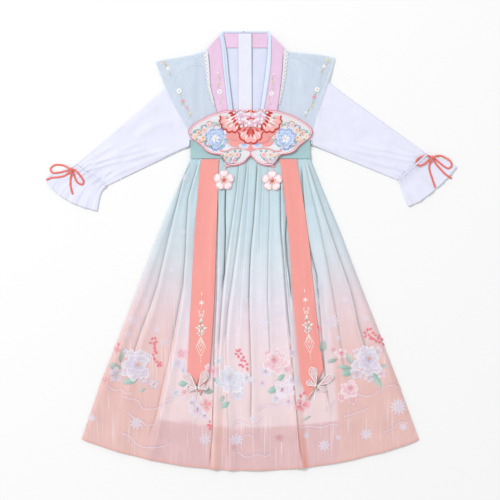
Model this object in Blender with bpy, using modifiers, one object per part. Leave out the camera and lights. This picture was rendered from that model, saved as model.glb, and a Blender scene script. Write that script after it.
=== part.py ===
"""A child's hanfu dress laid flat on a table, front up: its cut and sewn pieces, one object each.

Metres. +X runs to the photograph's right, +Y towards the collar, +Z up from the table. The
origin is on the table under the middle of the dress. Left and right are as seen from above.
"""

import math

import bmesh
import bpy
from mathutils import Vector
from mathutils.bvhtree import BVHTree

# Cloth
CLOTH = 0.001          # a plain cloth wall
SKIRT_CLOTH = 0.0013   # the skirt's outer wall, measured straight up, so a pleat's flank keeps 1 mm
TRIM = 0.0012          # collar, waistband and ribbons, which are doubled
GAP = 0.0003           # between neighbours at a seam and between layers
CLEAR = 0.0001         # added under a laid piece, for the slant of the facets below it

# Dress
TOP = 0.505            # back collar's top edge
HEM = -0.505           # middle of the hem
WAIST_TOP = 0.2522     # waistband's top edge
WAIST = 0.2105         # waistband's lower edge, where the skirt starts
HEM_RADIUS = 1.094     # the hem is an arc of this radius
LINING_HEM = -0.404    # middle of the lining's hem
LINING_INSET = (0.008, 0.020)   # how far its sides lie inside the skirt's, at the waist and hem
EDGE_SHARE = 0.40      # the skirt's front rises over the lining in this share of that inset

# Skirt's side edges: a row for each height, from the waist down
SIDES = [
    # y        left     right
    (0.2105, -0.1390, 0.1360),
    (0.1254, -0.1790, 0.1730),
    (0.0587, -0.2090, 0.2030),
    (-0.0449, -0.2510, 0.2440),
    (-0.1484, -0.2900, 0.2850),
    (-0.2864, -0.3430, 0.3360),
    (-0.4359, -0.3890, 0.3860),
]

# Front pleats, left to right: a crest's place at the waist and the hem, its height there, the
# side that its steep flank faces, and how far down it stays full
PLEATS = [
    # waist_x  hem_x   waist_h  hem_h   steep  full_to
    (-0.1270, -0.3380, 0.0030, 0.0075, -1, 1.00),
    (-0.1160, -0.2850, 0.0022, 0.0050, -1, 0.80),
    (-0.1040, -0.2320, 0.0030, 0.0080, -1, 1.00),
    (-0.0880, -0.1680, 0.0024, 0.0060, -1, 1.00),
    (-0.0700, -0.1250, 0.0020, 0.0050, -1, 0.90),
    (-0.0540, -0.0930, 0.0036, 0.0090, -1, 1.00),
    (-0.0340, -0.0620, 0.0026, 0.0055, -1, 0.90),
    (-0.0080, -0.0300, 0.0030, 0.0055, -1, 0.65),
    (0.0140, 0.0150, 0.0034, 0.0070, 1, 0.90),
    (0.0390, 0.0460, 0.0028, 0.0055, 1, 0.75),
    (0.0560, 0.0790, 0.0022, 0.0050, 1, 0.90),
    (0.0690, 0.1130, 0.0036, 0.0090, 1, 1.00),
    (0.0900, 0.1560, 0.0024, 0.0060, 1, 0.90),
    (0.1060, 0.2010, 0.0030, 0.0075, 1, 1.00),
    (0.1150, 0.2600, 0.0022, 0.0050, 1, 0.80),
    (0.1250, 0.3300, 0.0030, 0.0075, 1, 1.00),
]
PLEAT_SLOPE = (0.0060, 0.0260)   # width of a pleat's gentle flank at the waist and at the hem
PLEAT_DROP = (0.0040, 0.0090)    # width of its steep flank there
PLEAT_REST = 0.25                # share of a pleat's height that is left where it has faded
SKIRT_ROWS = [0.0, 0.08, 0.18, 0.29, 0.40, 0.51, 0.62, 0.73, 0.875, 0.925, 1.0]

# Bodice outline points, shared by the pieces that meet there
VEST_LEFT_TOP = [(-0.2196, 0.4331), (-0.2001, 0.4382), (-0.1334, 0.4497), (-0.1012, 0.4610)]
VEST_LEFT_SIDE = [(-0.2196, 0.4331), (-0.1960, 0.3726), (-0.1484, 0.2827), (-0.1390, WAIST_TOP)]
VEST_RIGHT_TOP = [(0.1932, 0.4423), (0.1564, 0.4497), (0.0863, 0.4570), (0.0770, 0.4610)]
VEST_RIGHT_SIDE = [(0.1932, 0.4423), (0.1799, 0.3928), (0.1426, 0.2863), (0.1360, WAIST_TOP)]
BAND_LEFT_OUT = [(-0.0989, 0.4634), (-0.0952, 0.4202), (-0.0931, 0.3777), (-0.0805, 0.3248),
                 (-0.0665, 0.2700)]
BAND_LEFT_IN = [(-0.0729, 0.4934), (-0.0678, 0.4680), (-0.0630, 0.4128), (-0.0529, 0.3248),
                (-0.0460, 0.2700)]
EDGE_LEFT_IN = [(-0.0637, 0.5030), (-0.0557, 0.4598), (-0.0490, 0.3921), (-0.0409, 0.3231),
                (-0.0345, 0.2700)]
BAND_RIGHT_OUT = [(0.0747, 0.4664), (0.0720, 0.4128), (0.0683, 0.3760), (0.0609, 0.3220),
                  (0.0506, 0.2700)]
BAND_RIGHT_IN = [(0.0465, 0.4952), (0.0449, 0.4276), (0.0382, 0.3760), (0.0294, 0.3231),
                 (0.0207, 0.2700)]
EDGE_RIGHT_IN = [(0.0386, 0.5030), (0.0354, 0.4421), (0.0283, 0.3834), (0.0202, 0.3248),
                 (0.0115, 0.2700)]
ARMHOLE_LEFT = [(-0.1587, 0.4083), (-0.1425, 0.2535)]
ARMHOLE_RIGHT = [(0.1400, 0.4160), (0.1390, 0.2535)]
NECK_LEFT, NECK_RIGHT = -0.0644, 0.0391   # ends of the back collar's straight top edge
COLLAR_DEPTH = 0.039                      # how far the back collar shows below that edge
BINDING = 0.006                           # width of the binding along it
BINDING_WALL = 0.0039                     # it wraps the back's three layers
GUARD = (-0.0299, 0.0011)                 # sides of the zip guard on the back, in the neck
GUARD_END = 0.262

# Sleeves and cuffs
SLEEVE_LEFT_TOP = [(-0.1592, 0.4080), (-0.2012, 0.3715), (-0.4048, 0.1966)]
SLEEVE_LEFT_LOW = [(-0.1430, 0.2532), (-0.1495, 0.2346), (-0.1702, 0.2254), (-0.3312, 0.1484)]
SLEEVE_RIGHT_TOP = [(0.1405, 0.4157), (0.1852, 0.3818), (0.4048, 0.2222)]
SLEEVE_RIGHT_LOW = [(0.1395, 0.2532), (0.1472, 0.2369), (0.1564, 0.2357), (0.3381, 0.1612)]
CUFF_LEFT_TOP = [(-0.4052, 0.1962), (-0.4200, 0.1900), (-0.4623, 0.1759), (-0.4715, 0.1610)]
CUFF_LEFT_LOW = [(-0.3315, 0.1480), (-0.3420, 0.1352), (-0.3478, 0.1164), (-0.3524, 0.0906)]
CUFF_LEFT_END = [(-0.4715, 0.1610), (-0.4556, 0.1398), (-0.4264, 0.1175), (-0.3912, 0.1012),
                 (-0.3524, 0.0906)]
CUFF_RIGHT_TOP = [(0.4053, 0.2219), (0.4180, 0.2170), (0.4531, 0.2059), (0.4735, 0.1923)]
CUFF_RIGHT_LOW = [(0.3384, 0.1608), (0.3440, 0.1420), (0.3489, 0.1297), (0.3611, 0.1010)]
CUFF_RIGHT_END = [(0.4735, 0.1923), (0.4586, 0.1739), (0.4352, 0.1502), (0.3919, 0.1152),
                  (0.3611, 0.1010)]
SLEEVE_HOLLOW = 0.0010   # least room between a sleeve's two layers
CREASE = 0.0016          # height of a sleeve's creases
RUFFLE = 0.0018          # height of the cuff's waves
RUFFLE_WAVES = 6
FOLD_IN = 0.003          # a tube's layers turn into its folded edge over this width
TUBE_REACH = 0.030       # a ring rises over anything this near it

# Ribbons
RIBBON_LEFT = {
    "left": [(-0.1141, 0.2095), (-0.1207, 0.1490), (-0.1304, 0.0241), (-0.1364, -0.0886),
             (-0.1421, -0.2012), (-0.1456, -0.2785)],
    "right": [(-0.0741, 0.2095), (-0.0768, 0.1138), (-0.0800, 0.0241), (-0.0835, -0.0931),
              (-0.0906, -0.2104), (-0.0964, -0.2834)],
    "tip": (-0.1173, -0.3301),
}
RIBBON_RIGHT = {
    "left": [(0.0655, 0.2095), (0.0745, 0.1431), (0.0869, 0.0241), (0.0950, -0.0931),
             (0.1056, -0.2104), (0.1138, -0.2979)],
    "right": [(0.1037, 0.2095), (0.1155, 0.1431), (0.1320, 0.0241), (0.1412, -0.0697),
              (0.1484, -0.1401), (0.1624, -0.2456), (0.1656, -0.2702)],
    "tip": (0.1311, -0.3438),
}

# Butterfly on the waistband: the reach of its outline from its middle, by angle from the right
BUTTERFLY_AT = (-0.0010, 0.2620)
BUTTERFLY = [
    # degrees  reach
    (-90, 0.0450),
    (-84, 0.0490),
    (-74, 0.0650),
    (-64, 0.0755),
    (-54, 0.0842),
    (-46, 0.0832),
    (-37, 0.0810),
    (-30, 0.0830),
    (-25, 0.0970),
    (-18, 0.1090),
    (-12, 0.1130),
    (-7, 0.1220),
    (-1, 0.1390),
    (5, 0.1450),
    (9, 0.1390),
    (19, 0.1190),
    (34, 0.0950),
    (57, 0.0710),
    (75, 0.0630),
    (90, 0.0605),
]
BUTTERFLY_WALL = 0.0024
ROSETTE_AT = (-0.0010, 0.2760)
ROSETTE_REACH = (0.062, 0.035)
BLUE_ROSETTE_AT = 0.0830  # from the butterfly's middle line
BLUE_ROSETTE_Y = 0.2590
BLUE_ROSETTE = 0.0215
RELIEF_WALL = 0.0018

# Flower pendants under the butterfly
PENDANTS = {"left": (-0.0621, 0.1612), "right": (0.0483, 0.1595)}
PENDANT = 0.0250
PENDANT_LOOP = 0.0010     # radius of the cord that each hangs on
PENDANT_CORD = {
    "left": [(-0.0540, 0.1945), (-0.0575, 0.1912), (-0.0600, 0.1876)],
    "right": [(0.0500, 0.1945), (0.0512, 0.1905), (0.0505, 0.1860)],
}

# Butterflies at the ribbons' ends
SMALL_BUTTERFLIES = {"left": (-0.1230, -0.3162), "right": (0.1495, -0.3116)}
SMALL_BUTTERFLY = (0.0250, 0.0440)   # half its width and half its length

# Cuff ties: round cord of this radius. Each loop and tail leaves its knot at an angle, in degrees
# from +X, and a loop comes back to it at another
TIE = 0.0018
KNOT = 0.0046
KNOT_FLATNESS = 0.6
KNOT_REACH = 0.0057    # from a knot's middle to the ends of its cords
TIES = {
    "left": {
        "knot": (-0.4130, 0.1852),
        "loop_out": (140, [(-0.4310, 0.1955), (-0.4500, 0.1968), (-0.4608, 0.1880),
                           (-0.4560, 0.1790), (-0.4400, 0.1795)], 190),
        "loop_in": (20, [(-0.3980, 0.1790), (-0.3850, 0.1610), (-0.3875, 0.1515),
                         (-0.3985, 0.1565), (-0.4050, 0.1690)], 330),
        "tail_out": (240, [(-0.4290, 0.1715), (-0.4430, 0.1685), (-0.4580, 0.1670),
                           (-0.4705, 0.1625)], None),
        "tail_in": (285, [(-0.4140, 0.1650), (-0.4145, 0.1500), (-0.4120, 0.1380),
                          (-0.4090, 0.1290)], None),
    },
    "right": {
        "knot": (0.4165, 0.2130),
        "loop_out": (30, [(0.4370, 0.2175), (0.4556, 0.2070), (0.4607, 0.1955),
                          (0.4531, 0.1885), (0.4414, 0.1945)], 340),
        "loop_in": (150, [(0.4000, 0.2175), (0.3850, 0.2120), (0.3790, 0.2026),
                          (0.3859, 0.1945), (0.3990, 0.1995)], 200),
        "tail_out": (295, [(0.4250, 0.1985), (0.4370, 0.1845), (0.4470, 0.1745),
                           (0.4610, 0.1655)], None),
        "tail_in": (250, [(0.4105, 0.1990), (0.4094, 0.1870), (0.4150, 0.1680),
                          (0.4232, 0.1445)], None),
    },
}

# Lace beside the collar: width at its top and at its end, and how far down it runs
LACE_WIDTH = (0.0130, 0.0040)
LACE_RUN = (0.02, 0.66)
LACE_SCALLOPS = 14
LACE_SCALLOP = 0.0030

COLOURS = {
    "skirt": (0.80, 0.72, 0.71),
    "lining": (0.88, 0.80, 0.77),
    "waistband": (0.45, 0.72, 0.62),
    "blouse": (0.86, 0.86, 0.95),
    "vest": (0.66, 0.75, 0.86),
    "collar": (0.90, 0.66, 0.84),
    "edging": (0.62, 0.78, 0.93),
    "guard": (0.94, 0.94, 0.96),
    "lace": (0.92, 0.92, 0.93),
    "ribbon": (0.93, 0.38, 0.32),
    "tie": (0.88, 0.24, 0.16),
    "applique": (0.93, 0.66, 0.66),
    "rosette": (0.85, 0.22, 0.20),
    "blue_rosette": (0.42, 0.60, 0.84),
    "pendant": (0.93, 0.78, 0.80),
    "small_butterfly": (0.88, 0.70, 0.66),
}
ROUGHNESS = 0.75

parts = bpy.data.collections.new("hanfu_dress")
trees = {}


def clear_scene():
    for thing in list(bpy.data.objects):
        bpy.data.objects.remove(thing, do_unlink=True)
    bpy.context.scene.collection.children.link(parts)


def finish_object(name, data, colour, smooth=True):
    """Puts the mesh or curve in the collection, with its own material and its search tree."""
    material = bpy.data.materials.new(name)
    material.use_nodes = True
    shader = material.node_tree.nodes["Principled BSDF"]
    shader.inputs["Base Color"].default_value = (*COLOURS[colour], 1.0)
    shader.inputs["Roughness"].default_value = ROUGHNESS
    shader.inputs["Metallic"].default_value = 0.0
    data.materials.append(material)
    thing = bpy.data.objects.new(name, data)
    parts.objects.link(thing)
    if smooth and thing.type == "MESH":
        data.shade_smooth()
        data.set_sharp_from_angle(angle=math.radians(40))
    bpy.context.view_layer.update()
    trees[name] = BVHTree.FromObject(thing, bpy.context.evaluated_depsgraph_get())
    return thing


# Plan shapes


def along(points, t):
    """The point at share t of a polyline's length."""
    steps = [math.dist(a, b) for a, b in zip(points, points[1:])]
    left = t * sum(steps)
    for a, b, step in zip(points, points[1:], steps):
        if left <= step or b is points[-1]:
            share = left / step
            return (a[0] + (b[0] - a[0]) * share, a[1] + (b[1] - a[1]) * share)
        left -= step


def patch(left, right, top=None, bottom=None):
    """Plan points between four edges. Left and right run from the top edge to the bottom one."""
    top = top or [left[0], right[0]]
    bottom = bottom or [left[-1], right[-1]]

    def at(u, v):
        a, b = along(left, v), along(right, v)
        c, d = along(top, u), along(bottom, u)
        corners = (left[0], right[0], left[-1], right[-1])
        weights = ((1 - u) * (1 - v), u * (1 - v), (1 - u) * v, u * v)
        return tuple(
            (1 - u) * a[i] + u * b[i] + (1 - v) * c[i] + v * d[i]
            - sum(w * p[i] for w, p in zip(weights, corners))
            for i in (0, 1)
        )

    return at


def side(row, y):
    """The skirt's left (1) or right (2) side edge at this height."""
    for upper, lower in zip(SIDES, SIDES[1:]):
        if y >= lower[0] or lower is SIDES[-1]:
            share = (upper[0] - y) / (upper[0] - lower[0])
            return upper[row] + (lower[row] - upper[row]) * share


def hem_y(x, middle=HEM):
    return middle + HEM_RADIUS - math.sqrt(HEM_RADIUS**2 - x * x)


def lining_inset(y):
    share = (WAIST - y) / (WAIST - SIDES[-1][0])
    return LINING_INSET[0] + (LINING_INSET[1] - LINING_INSET[0]) * share


def skirt_outline(middle, inset, points=24):
    """The skirt's outline, from its waist round its hem, with the hem's middle at this height."""
    corner_y = middle + SIDES[-1][0] - HEM
    rows = [y for y, _, _ in SIDES if y > corner_y]
    left = [(side(1, y) + inset(y), y) for y in rows]
    right = [(side(2, y) - inset(y), y) for y in rows]
    start, end = side(1, corner_y) + inset(corner_y), side(2, corner_y) - inset(corner_y)
    arc = [start + (end - start) * i / points for i in range(points + 1)]
    hem = [(x, hem_y(x, middle)) for x in arc]
    return left + hem + right[::-1]


# Heights: each piece is laid on what lies under it


def heights(points, under, reach):
    """The lowest that each plan point may lie, clear of all that is within reach of it."""
    found = []
    down = Vector((0, 0, -1))
    for x, y in points:
        top = 0.0
        for ring in (0.0, 0.35, 0.7, 1.0):
            for step in range(12 if ring else 1):
                angle = step * math.tau / 12
                px, py = x + reach * ring * math.cos(angle), y + reach * ring * math.sin(angle)
                for name in under:
                    hit = trees[name].ray_cast(Vector((px, py, 0.1)), down)[0]
                    if hit is not None:
                        top = max(top, hit.z)
        found.append(top + GAP + CLEAR if top else 0.0)
    return found


def settle(mesh, least, rounds):
    """Eases the heights between neighbours, never lower than the least that each may be."""
    for _ in range(rounds):
        now = [v.co.z for v in mesh.verts]
        for v, low in zip(mesh.verts, least):
            near = [now[e.other_vert(v).index] for e in v.link_edges]
            v.co.z = max(low, sum(near) / len(near))


def face_out(mesh):
    bmesh.ops.recalc_face_normals(mesh, faces=mesh.faces)
    if mesh.calc_volume(signed=True) < 0:
        bmesh.ops.reverse_faces(mesh, faces=mesh.faces)


def thicken(mesh, wall):
    """Adds the upper side a wall's thickness above an open sheet, and closes the edges."""
    made = bmesh.ops.extrude_face_region(mesh, geom=mesh.faces[:])["geom"]
    for v in made:
        if isinstance(v, bmesh.types.BMVert):
            v.co.z += wall
    face_out(mesh)


def laid(name, colour, plan, cells, wall, under=(), reach=0.012, rounds=6, relief=None,
         turn=False):
    """A sheet over a plan patch, laid on the pieces under it."""
    mesh = bmesh.new()
    bmesh.ops.create_grid(mesh, x_segments=cells[0], y_segments=cells[1], size=0.5)
    places = {}
    for v in mesh.verts:
        u, w = v.co.x + 0.5, 0.5 - v.co.y
        places[v] = (u, w)
        v.co.x, v.co.y = plan(u, w)
    if turn:
        bmesh.ops.remove_doubles(mesh, verts=mesh.verts, dist=1e-6)
    mesh.verts.ensure_lookup_table()
    mesh.verts.index_update()
    least = heights([v.co.xy for v in mesh.verts], under, reach)
    for v, low in zip(mesh.verts, least):
        v.co.z = low
    settle(mesh, least, rounds)
    if relief:
        for v in mesh.verts:
            v.co.z += relief(*places[v])
    thicken(mesh, wall)
    data = bpy.data.meshes.new(name)
    mesh.to_mesh(data)
    mesh.free()
    return finish_object(name, data, colour)


def slab(name, colour, outline, z, wall):
    """A flat panel: one filled outline at this height, with its thickness above it."""
    mesh = bmesh.new()
    face = mesh.faces.new([mesh.verts.new((x, y, z)) for x, y in outline])
    bmesh.ops.triangulate(mesh, faces=[face])
    thicken(mesh, wall)
    data = bpy.data.meshes.new(name)
    mesh.to_mesh(data)
    mesh.free()
    return finish_object(name, data, colour)


def flat_tube(name, colour, plan, rings, stations, under, puff):
    """A sleeve or cuff: two layers in one wall round a low hollow, folded at both long edges.

    The plan runs from the upper folded edge (u = 0) to the lower one, and from the shoulder (w = 0)
    to the wrist. A ring's points go along the lower layer and back along the upper one.
    """
    mesh = bmesh.new()
    around = 2 * (stations + 1)
    bmesh.ops.create_grid(mesh, x_segments=around, y_segments=rings, size=0.5)
    loop = []
    for v in mesh.verts:
        step = round((v.co.x + 0.5) * around) % around
        w = 0.5 - v.co.y
        start, end = plan(0, w), plan(1, w)
        width = math.dist(start, end)
        edge = FOLD_IN / width
        half = stations + 1
        if step in (0, half):
            u = 0.0 if step == 0 else 1.0
        else:
            k = step - 1 if step < half else around - 1 - step
            u = edge + (1 - 2 * edge) * k / (stations - 1)
        v.co.x, v.co.y = plan(u, w)
        loop.append((step, u, w))
    low = heights([v.co.xy for v in mesh.verts], under, TUBE_REACH)
    half = stations + 1
    for v, (step, u, w), floor in zip(mesh.verts, loop, low):
        upper = floor + 2 * CLOTH + SLEEVE_HOLLOW + puff(u, w)
        if step in (0, half):
            v.co.z = floor + CLOTH + SLEEVE_HOLLOW / 2
        else:
            v.co.z = floor if step < half else upper
    bmesh.ops.remove_doubles(mesh, verts=mesh.verts, dist=1e-6)
    bmesh.ops.recalc_face_normals(mesh, faces=mesh.faces)
    data = bpy.data.meshes.new(name)
    mesh.to_mesh(data)
    mesh.free()
    thing = bpy.data.objects.new(name + "_skin", data)
    parts.objects.link(thing)
    wall = thing.modifiers.new("wall", "SOLIDIFY")
    wall.thickness = CLOTH
    wall.offset = -1
    bpy.context.view_layer.update()
    solid = bpy.data.meshes.new_from_object(
        thing.evaluated_get(bpy.context.evaluated_depsgraph_get())
    )
    bpy.data.objects.remove(thing, do_unlink=True)
    solid.name = name
    return finish_object(name, solid, colour)


def cord(name, colour, route, radius, under, spacing=2.5):
    """A round cord on a smooth curve through the route, lying on the pieces under it."""
    smooth = []
    ends = [route[0]] + list(route) + [route[-1]]
    for a, b, c, d in zip(ends, ends[1:], ends[2:], ends[3:]):
        for step in range(8):
            t = step / 8
            smooth.append(tuple(
                0.5 * (2 * q + (r - p) * t + (2 * p - 5 * q + 4 * r - s) * t * t
                       + (3 * q - p - 3 * r + s) * t**3)
                for p, q, r, s in zip(a, b, c, d)
            ))
    smooth.append(route[-1])
    length = sum(math.dist(a, b) for a, b in zip(smooth, smooth[1:]))
    count = max(4, round(length / (2 * radius * spacing)) + 1)
    plan = [along(smooth, i / (count - 1)) for i in range(count)]
    low = heights(plan, under, 2.2 * radius * spacing)
    data = bpy.data.curves.new(name, "CURVE")
    data.dimensions = "3D"
    data.bevel_depth = radius
    data.bevel_resolution = 2
    data.use_fill_caps = True
    spline = data.splines.new("POLY")
    spline.points.add(count - 1)
    for point, (x, y), z in zip(spline.points, plan, low):
        point.co = (x, y, z + radius, 1)
    return finish_object(name, data, colour)


# Skirt


def fraction(x, y):
    return (x - side(1, y)) / (side(2, y) - side(1, y))


def pleat_columns():
    """Shares across the waist and the hem where the skirt's grid lines run: five to a pleat."""
    corner = SIDES[-1][0]
    edge = [EDGE_SHARE * lining_inset(y) / (side(2, y) - side(1, y)) for y in (WAIST, corner)]
    columns = [(0.0, 0.0), tuple(edge)]
    for waist_x, hem_x, _, _, steep, _ in PLEATS:
        spots = []
        for x, y, k in ((waist_x, WAIST, 0), (hem_x, corner, 1)):
            slope = [x - steep * PLEAT_SLOPE[k] * share for share in (0.8, 0.4)]
            drop = [x + steep * PLEAT_DROP[k] * share for share in (0.5, 1.0)]
            spots.append([fraction(p, y) for p in sorted(slope + [x] + drop)])
        columns += list(zip(*spots))
    columns += [(1 - edge[0], 1 - edge[1]), (1.0, 1.0)]
    return columns


def pleat_height(x, y, v):
    """How far the pleats raise the skirt at a place and a share v of the way down."""
    total = 0.0
    for waist_x, hem_x, waist_h, hem_h, steep, full_to in PLEATS:
        share = (1 - v) * fraction(waist_x, WAIST) + v * fraction(hem_x, SIDES[-1][0])
        crest = side(1, y) + share * (side(2, y) - side(1, y))
        height = waist_h + (hem_h - waist_h) * v
        if v > full_to:
            height *= max(PLEAT_REST, 1 - (v - full_to) / 0.25)
        away = (x - crest) * steep
        reach = PLEAT_DROP if away > 0 else PLEAT_SLOPE
        width = reach[0] + (reach[1] - reach[0]) * v
        if abs(away) < width:
            total = max(total, height * 0.5 * (1 + math.cos(math.pi * away / width)))
    return total


def make_skirt():
    corner = SIDES[-1][0]
    slab("skirt_back", "skirt", skirt_outline(HEM, lambda y: 0.0), 0.0, SKIRT_CLOTH)
    on_back = SKIRT_CLOTH + GAP
    slab("lining_back", "lining", skirt_outline(LINING_HEM, lining_inset), on_back, CLOTH)
    slab("lining_front", "lining", skirt_outline(LINING_HEM, lining_inset),
         on_back + CLOTH + GAP, CLOTH)
    on_lining = on_back + 2 * (CLOTH + GAP)
    columns = pleat_columns()
    lining_end = max(v for v in SKIRT_ROWS if v < 0.9)

    def plan(u, w):
        waist, hem = columns[round(u * (len(columns) - 1))]
        v = SKIRT_ROWS[round(w * (len(SKIRT_ROWS) - 1))]
        y = WAIST + (corner - WAIST) * v
        x = side(1, y) + (waist + (hem - waist) * v) * (side(2, y) - side(1, y))
        return x, WAIST + (hem_y(x) - WAIST) * v

    def height(u, w):
        x, _ = plan(u, w)
        v = SKIRT_ROWS[round(w * (len(SKIRT_ROWS) - 1))]
        y = WAIST + (corner - WAIST) * v
        edge = min(x - side(1, y), side(2, y) - x) / (EDGE_SHARE * lining_inset(y))
        edge = min(1.0, max(0.0, edge))
        base = on_lining if v <= lining_end else on_back
        return on_back + (base - on_back) * edge + pleat_height(x, y, v) * edge

    laid("skirt_front", "skirt", plan, (len(columns) - 1, len(SKIRT_ROWS) - 1), SKIRT_CLOTH,
         rounds=0, relief=height)


# Bodice


def make_back():
    neck = TOP - BINDING - GAP
    vest = ([(VEST_LEFT_SIDE[-1])] + VEST_LEFT_SIDE[-2:0:-1] + VEST_LEFT_TOP
            + [(NECK_LEFT, neck), (NECK_RIGHT, neck)] + VEST_RIGHT_TOP[::-1]
            + VEST_RIGHT_SIDE[1:])
    slab("vest_back", "vest", vest, 0.0, CLOTH)
    blouse = (ARMHOLE_LEFT[::-1] + [(-0.1000, 0.4530), (NECK_LEFT, neck), (NECK_RIGHT, neck),
                                    (0.0790, 0.4540)] + ARMHOLE_RIGHT)
    slab("blouse_back", "blouse", blouse, CLOTH + GAP, CLOTH)
    slab("waistband_back", "waistband",
         [(-0.1390, WAIST + GAP), (-0.1390, WAIST_TOP - GAP), (0.1360, WAIST_TOP - GAP),
          (0.1360, WAIST + GAP)], 0.0, TRIM)


def make_sleeves():
    for hand, top, low in (("left", SLEEVE_LEFT_TOP, SLEEVE_LEFT_LOW),
                           ("right", SLEEVE_RIGHT_TOP, SLEEVE_RIGHT_LOW)):

        def crease(u, w, phase=0.0 if hand == "left" else 1.3):
            wave = math.sin(5 * math.pi * u + 4 * w + phase) * math.sin(math.pi * u)
            return CREASE * max(0.0, wave) * (0.35 + 0.65 * w)

        flat_tube("sleeve_" + hand, "blouse", patch(top, low), 11, 9, ("vest_back",), crease)
    for hand, top, low, end in (("left", CUFF_LEFT_TOP, CUFF_LEFT_LOW, CUFF_LEFT_END),
                                ("right", CUFF_RIGHT_TOP, CUFF_RIGHT_LOW, CUFF_RIGHT_END)):

        def wave(u, w):
            return RUFFLE * (0.4 + 0.6 * w) * 0.5 * (1 - math.cos(math.tau * RUFFLE_WAVES * u))

        flat_tube("cuff_" + hand, "blouse", patch(top, low, bottom=end), 5, 19, (), wave)


def make_fronts():
    slab("blouse_front_left", "blouse",
         ARMHOLE_LEFT[::-1] + [(-0.1000, 0.4530)] + BAND_LEFT_IN[1:-1]
         + [(-0.0440, WAIST_TOP)], 2 * (CLOTH + GAP), CLOTH)
    slab("blouse_front_right", "blouse",
         ARMHOLE_RIGHT[::-1] + [(0.0790, 0.4540)] + BAND_RIGHT_IN[1:-1]
         + [(0.0180, WAIST_TOP)], 2 * (CLOTH + GAP), CLOTH)
    under = ("vest_back", "blouse_back", "blouse_front_left", "blouse_front_right",
             "sleeve_left", "sleeve_right")
    middle = [tuple((p + q) / 2 for p, q in zip(a, b)) for a, b in zip(BAND_LEFT_OUT, BAND_LEFT_IN)]
    inner = [VEST_LEFT_TOP[-1]] + middle[1:-1] + [(-0.0540, WAIST_TOP)]
    laid("vest_front_left", "vest", patch(VEST_LEFT_SIDE, inner, top=VEST_LEFT_TOP), (11, 11),
         CLOTH, under, reach=0.016)
    middle = [tuple((p + q) / 2 for p, q in zip(a, b))
              for a, b in zip(BAND_RIGHT_OUT, BAND_RIGHT_IN)]
    inner = [VEST_RIGHT_TOP[-1]] + middle[1:-1] + [(0.0340, WAIST_TOP)]
    laid("vest_front_right", "vest", patch(inner, VEST_RIGHT_SIDE, top=VEST_RIGHT_TOP[::-1]),
         (11, 11), CLOTH, under, reach=0.016)


def make_collar():
    base = ("vest_back", "blouse_back", "blouse_front_left", "blouse_front_right")
    low, high = TOP - COLLAR_DEPTH, TOP - BINDING - GAP
    laid("collar_back", "collar", patch([(NECK_LEFT, high), (NECK_LEFT, low)],
                                        [(NECK_RIGHT, high), (NECK_RIGHT, low)]),
         (6, 3), TRIM, base, reach=0.003)
    laid("collar_edging_back", "edging",
         patch([(NECK_LEFT, TOP), (NECK_LEFT, TOP - BINDING)],
               [(NECK_RIGHT, TOP), (NECK_RIGHT, TOP - BINDING)]), (6, 1), BINDING_WALL)
    laid("zip_guard", "guard",
         patch([(GUARD[0], TOP - BINDING - 2 * GAP), (GUARD[0], GUARD_END)],
               [(GUARD[1], TOP - BINDING - 2 * GAP), (GUARD[1] + 0.002, GUARD_END)]),
         (3, 12), CLOTH, base + ("collar_back",), reach=0.020)
    fronts = base + ("collar_back", "collar_edging_back", "vest_front_left", "vest_front_right",
                     "zip_guard")
    for hand, outer, inner, edge in (("left", BAND_LEFT_OUT, BAND_LEFT_IN, EDGE_LEFT_IN),
                                     ("right", BAND_RIGHT_OUT, BAND_RIGHT_IN, EDGE_RIGHT_IN)):
        away = -GAP if hand == "left" else GAP
        band = [(x + away, y) for x, y in inner]
        if hand == "left":
            laid("collar_left", "collar", patch(outer, band), (3, 14), TRIM, fronts, 0.016, 4)
            laid("collar_edging_left", "edging", patch(inner, edge), (2, 14), TRIM, fronts,
                 0.016, 4)
        else:
            laid("collar_right", "collar", patch(band, outer), (3, 14), TRIM, fronts, 0.016, 4)
            laid("collar_edging_right", "edging", patch(edge, inner), (2, 14), TRIM, fronts,
                 0.016, 4)


def make_lace():
    """A scalloped strip beside each collar band, narrower towards the waist."""
    for hand, outer, sign in (("left", BAND_LEFT_OUT, -1), ("right", BAND_RIGHT_OUT, 1)):

        def plan(u, v, outer=outer, sign=sign):
            run = LACE_RUN[0] + (LACE_RUN[1] - LACE_RUN[0]) * v
            x, y = along(outer, run)
            width = LACE_WIDTH[0] + (LACE_WIDTH[1] - LACE_WIDTH[0]) * v
            width -= LACE_SCALLOP * abs(math.cos(math.pi * LACE_SCALLOPS * v)) * u * (1 - v / 2)
            return x + sign * (2 * GAP + width * u), y - 0.004 * u

        laid("lace_" + hand, "lace", plan, (1, 2 * LACE_SCALLOPS), CLOTH,
             ("vest_front_left", "vest_front_right"), 0.012, 4)


def make_waistband():
    under = ("waistband_back", "sleeve_left", "sleeve_right")
    left, right = (-0.1390, 0.1360)
    laid("waistband_front", "waistband",
         patch([(left, WAIST_TOP - GAP), (left, WAIST + GAP)],
               [(right, WAIST_TOP - GAP), (right, WAIST + GAP)]), (18, 2), TRIM, under, 0.008, 3,
         relief=lambda u, v: 0.0030 * min(1.0, 12 * u, 12 * (1 - u)))


# Ribbons, butterfly and pendants


def make_ribbons():
    for hand, shape in (("left", RIBBON_LEFT), ("right", RIBBON_RIGHT)):
        end = [shape["left"][-1], shape["tip"], shape["right"][-1]]
        laid("ribbon_" + hand, "ribbon", patch(shape["left"], shape["right"], bottom=end),
             (4, 22), TRIM, ("skirt_front",), 0.014, 4)


def butterfly_reach(angle):
    """The butterfly's outline: straight between the table's rows, the same on both sides."""
    degrees = math.degrees(math.asin(math.sin(angle)))
    for (a, low), (b, high) in zip(BUTTERFLY, BUTTERFLY[1:]):
        if degrees <= b:
            return low + (high - low) * (degrees - a) / (b - a)
    return BUTTERFLY[-1][1]


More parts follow.
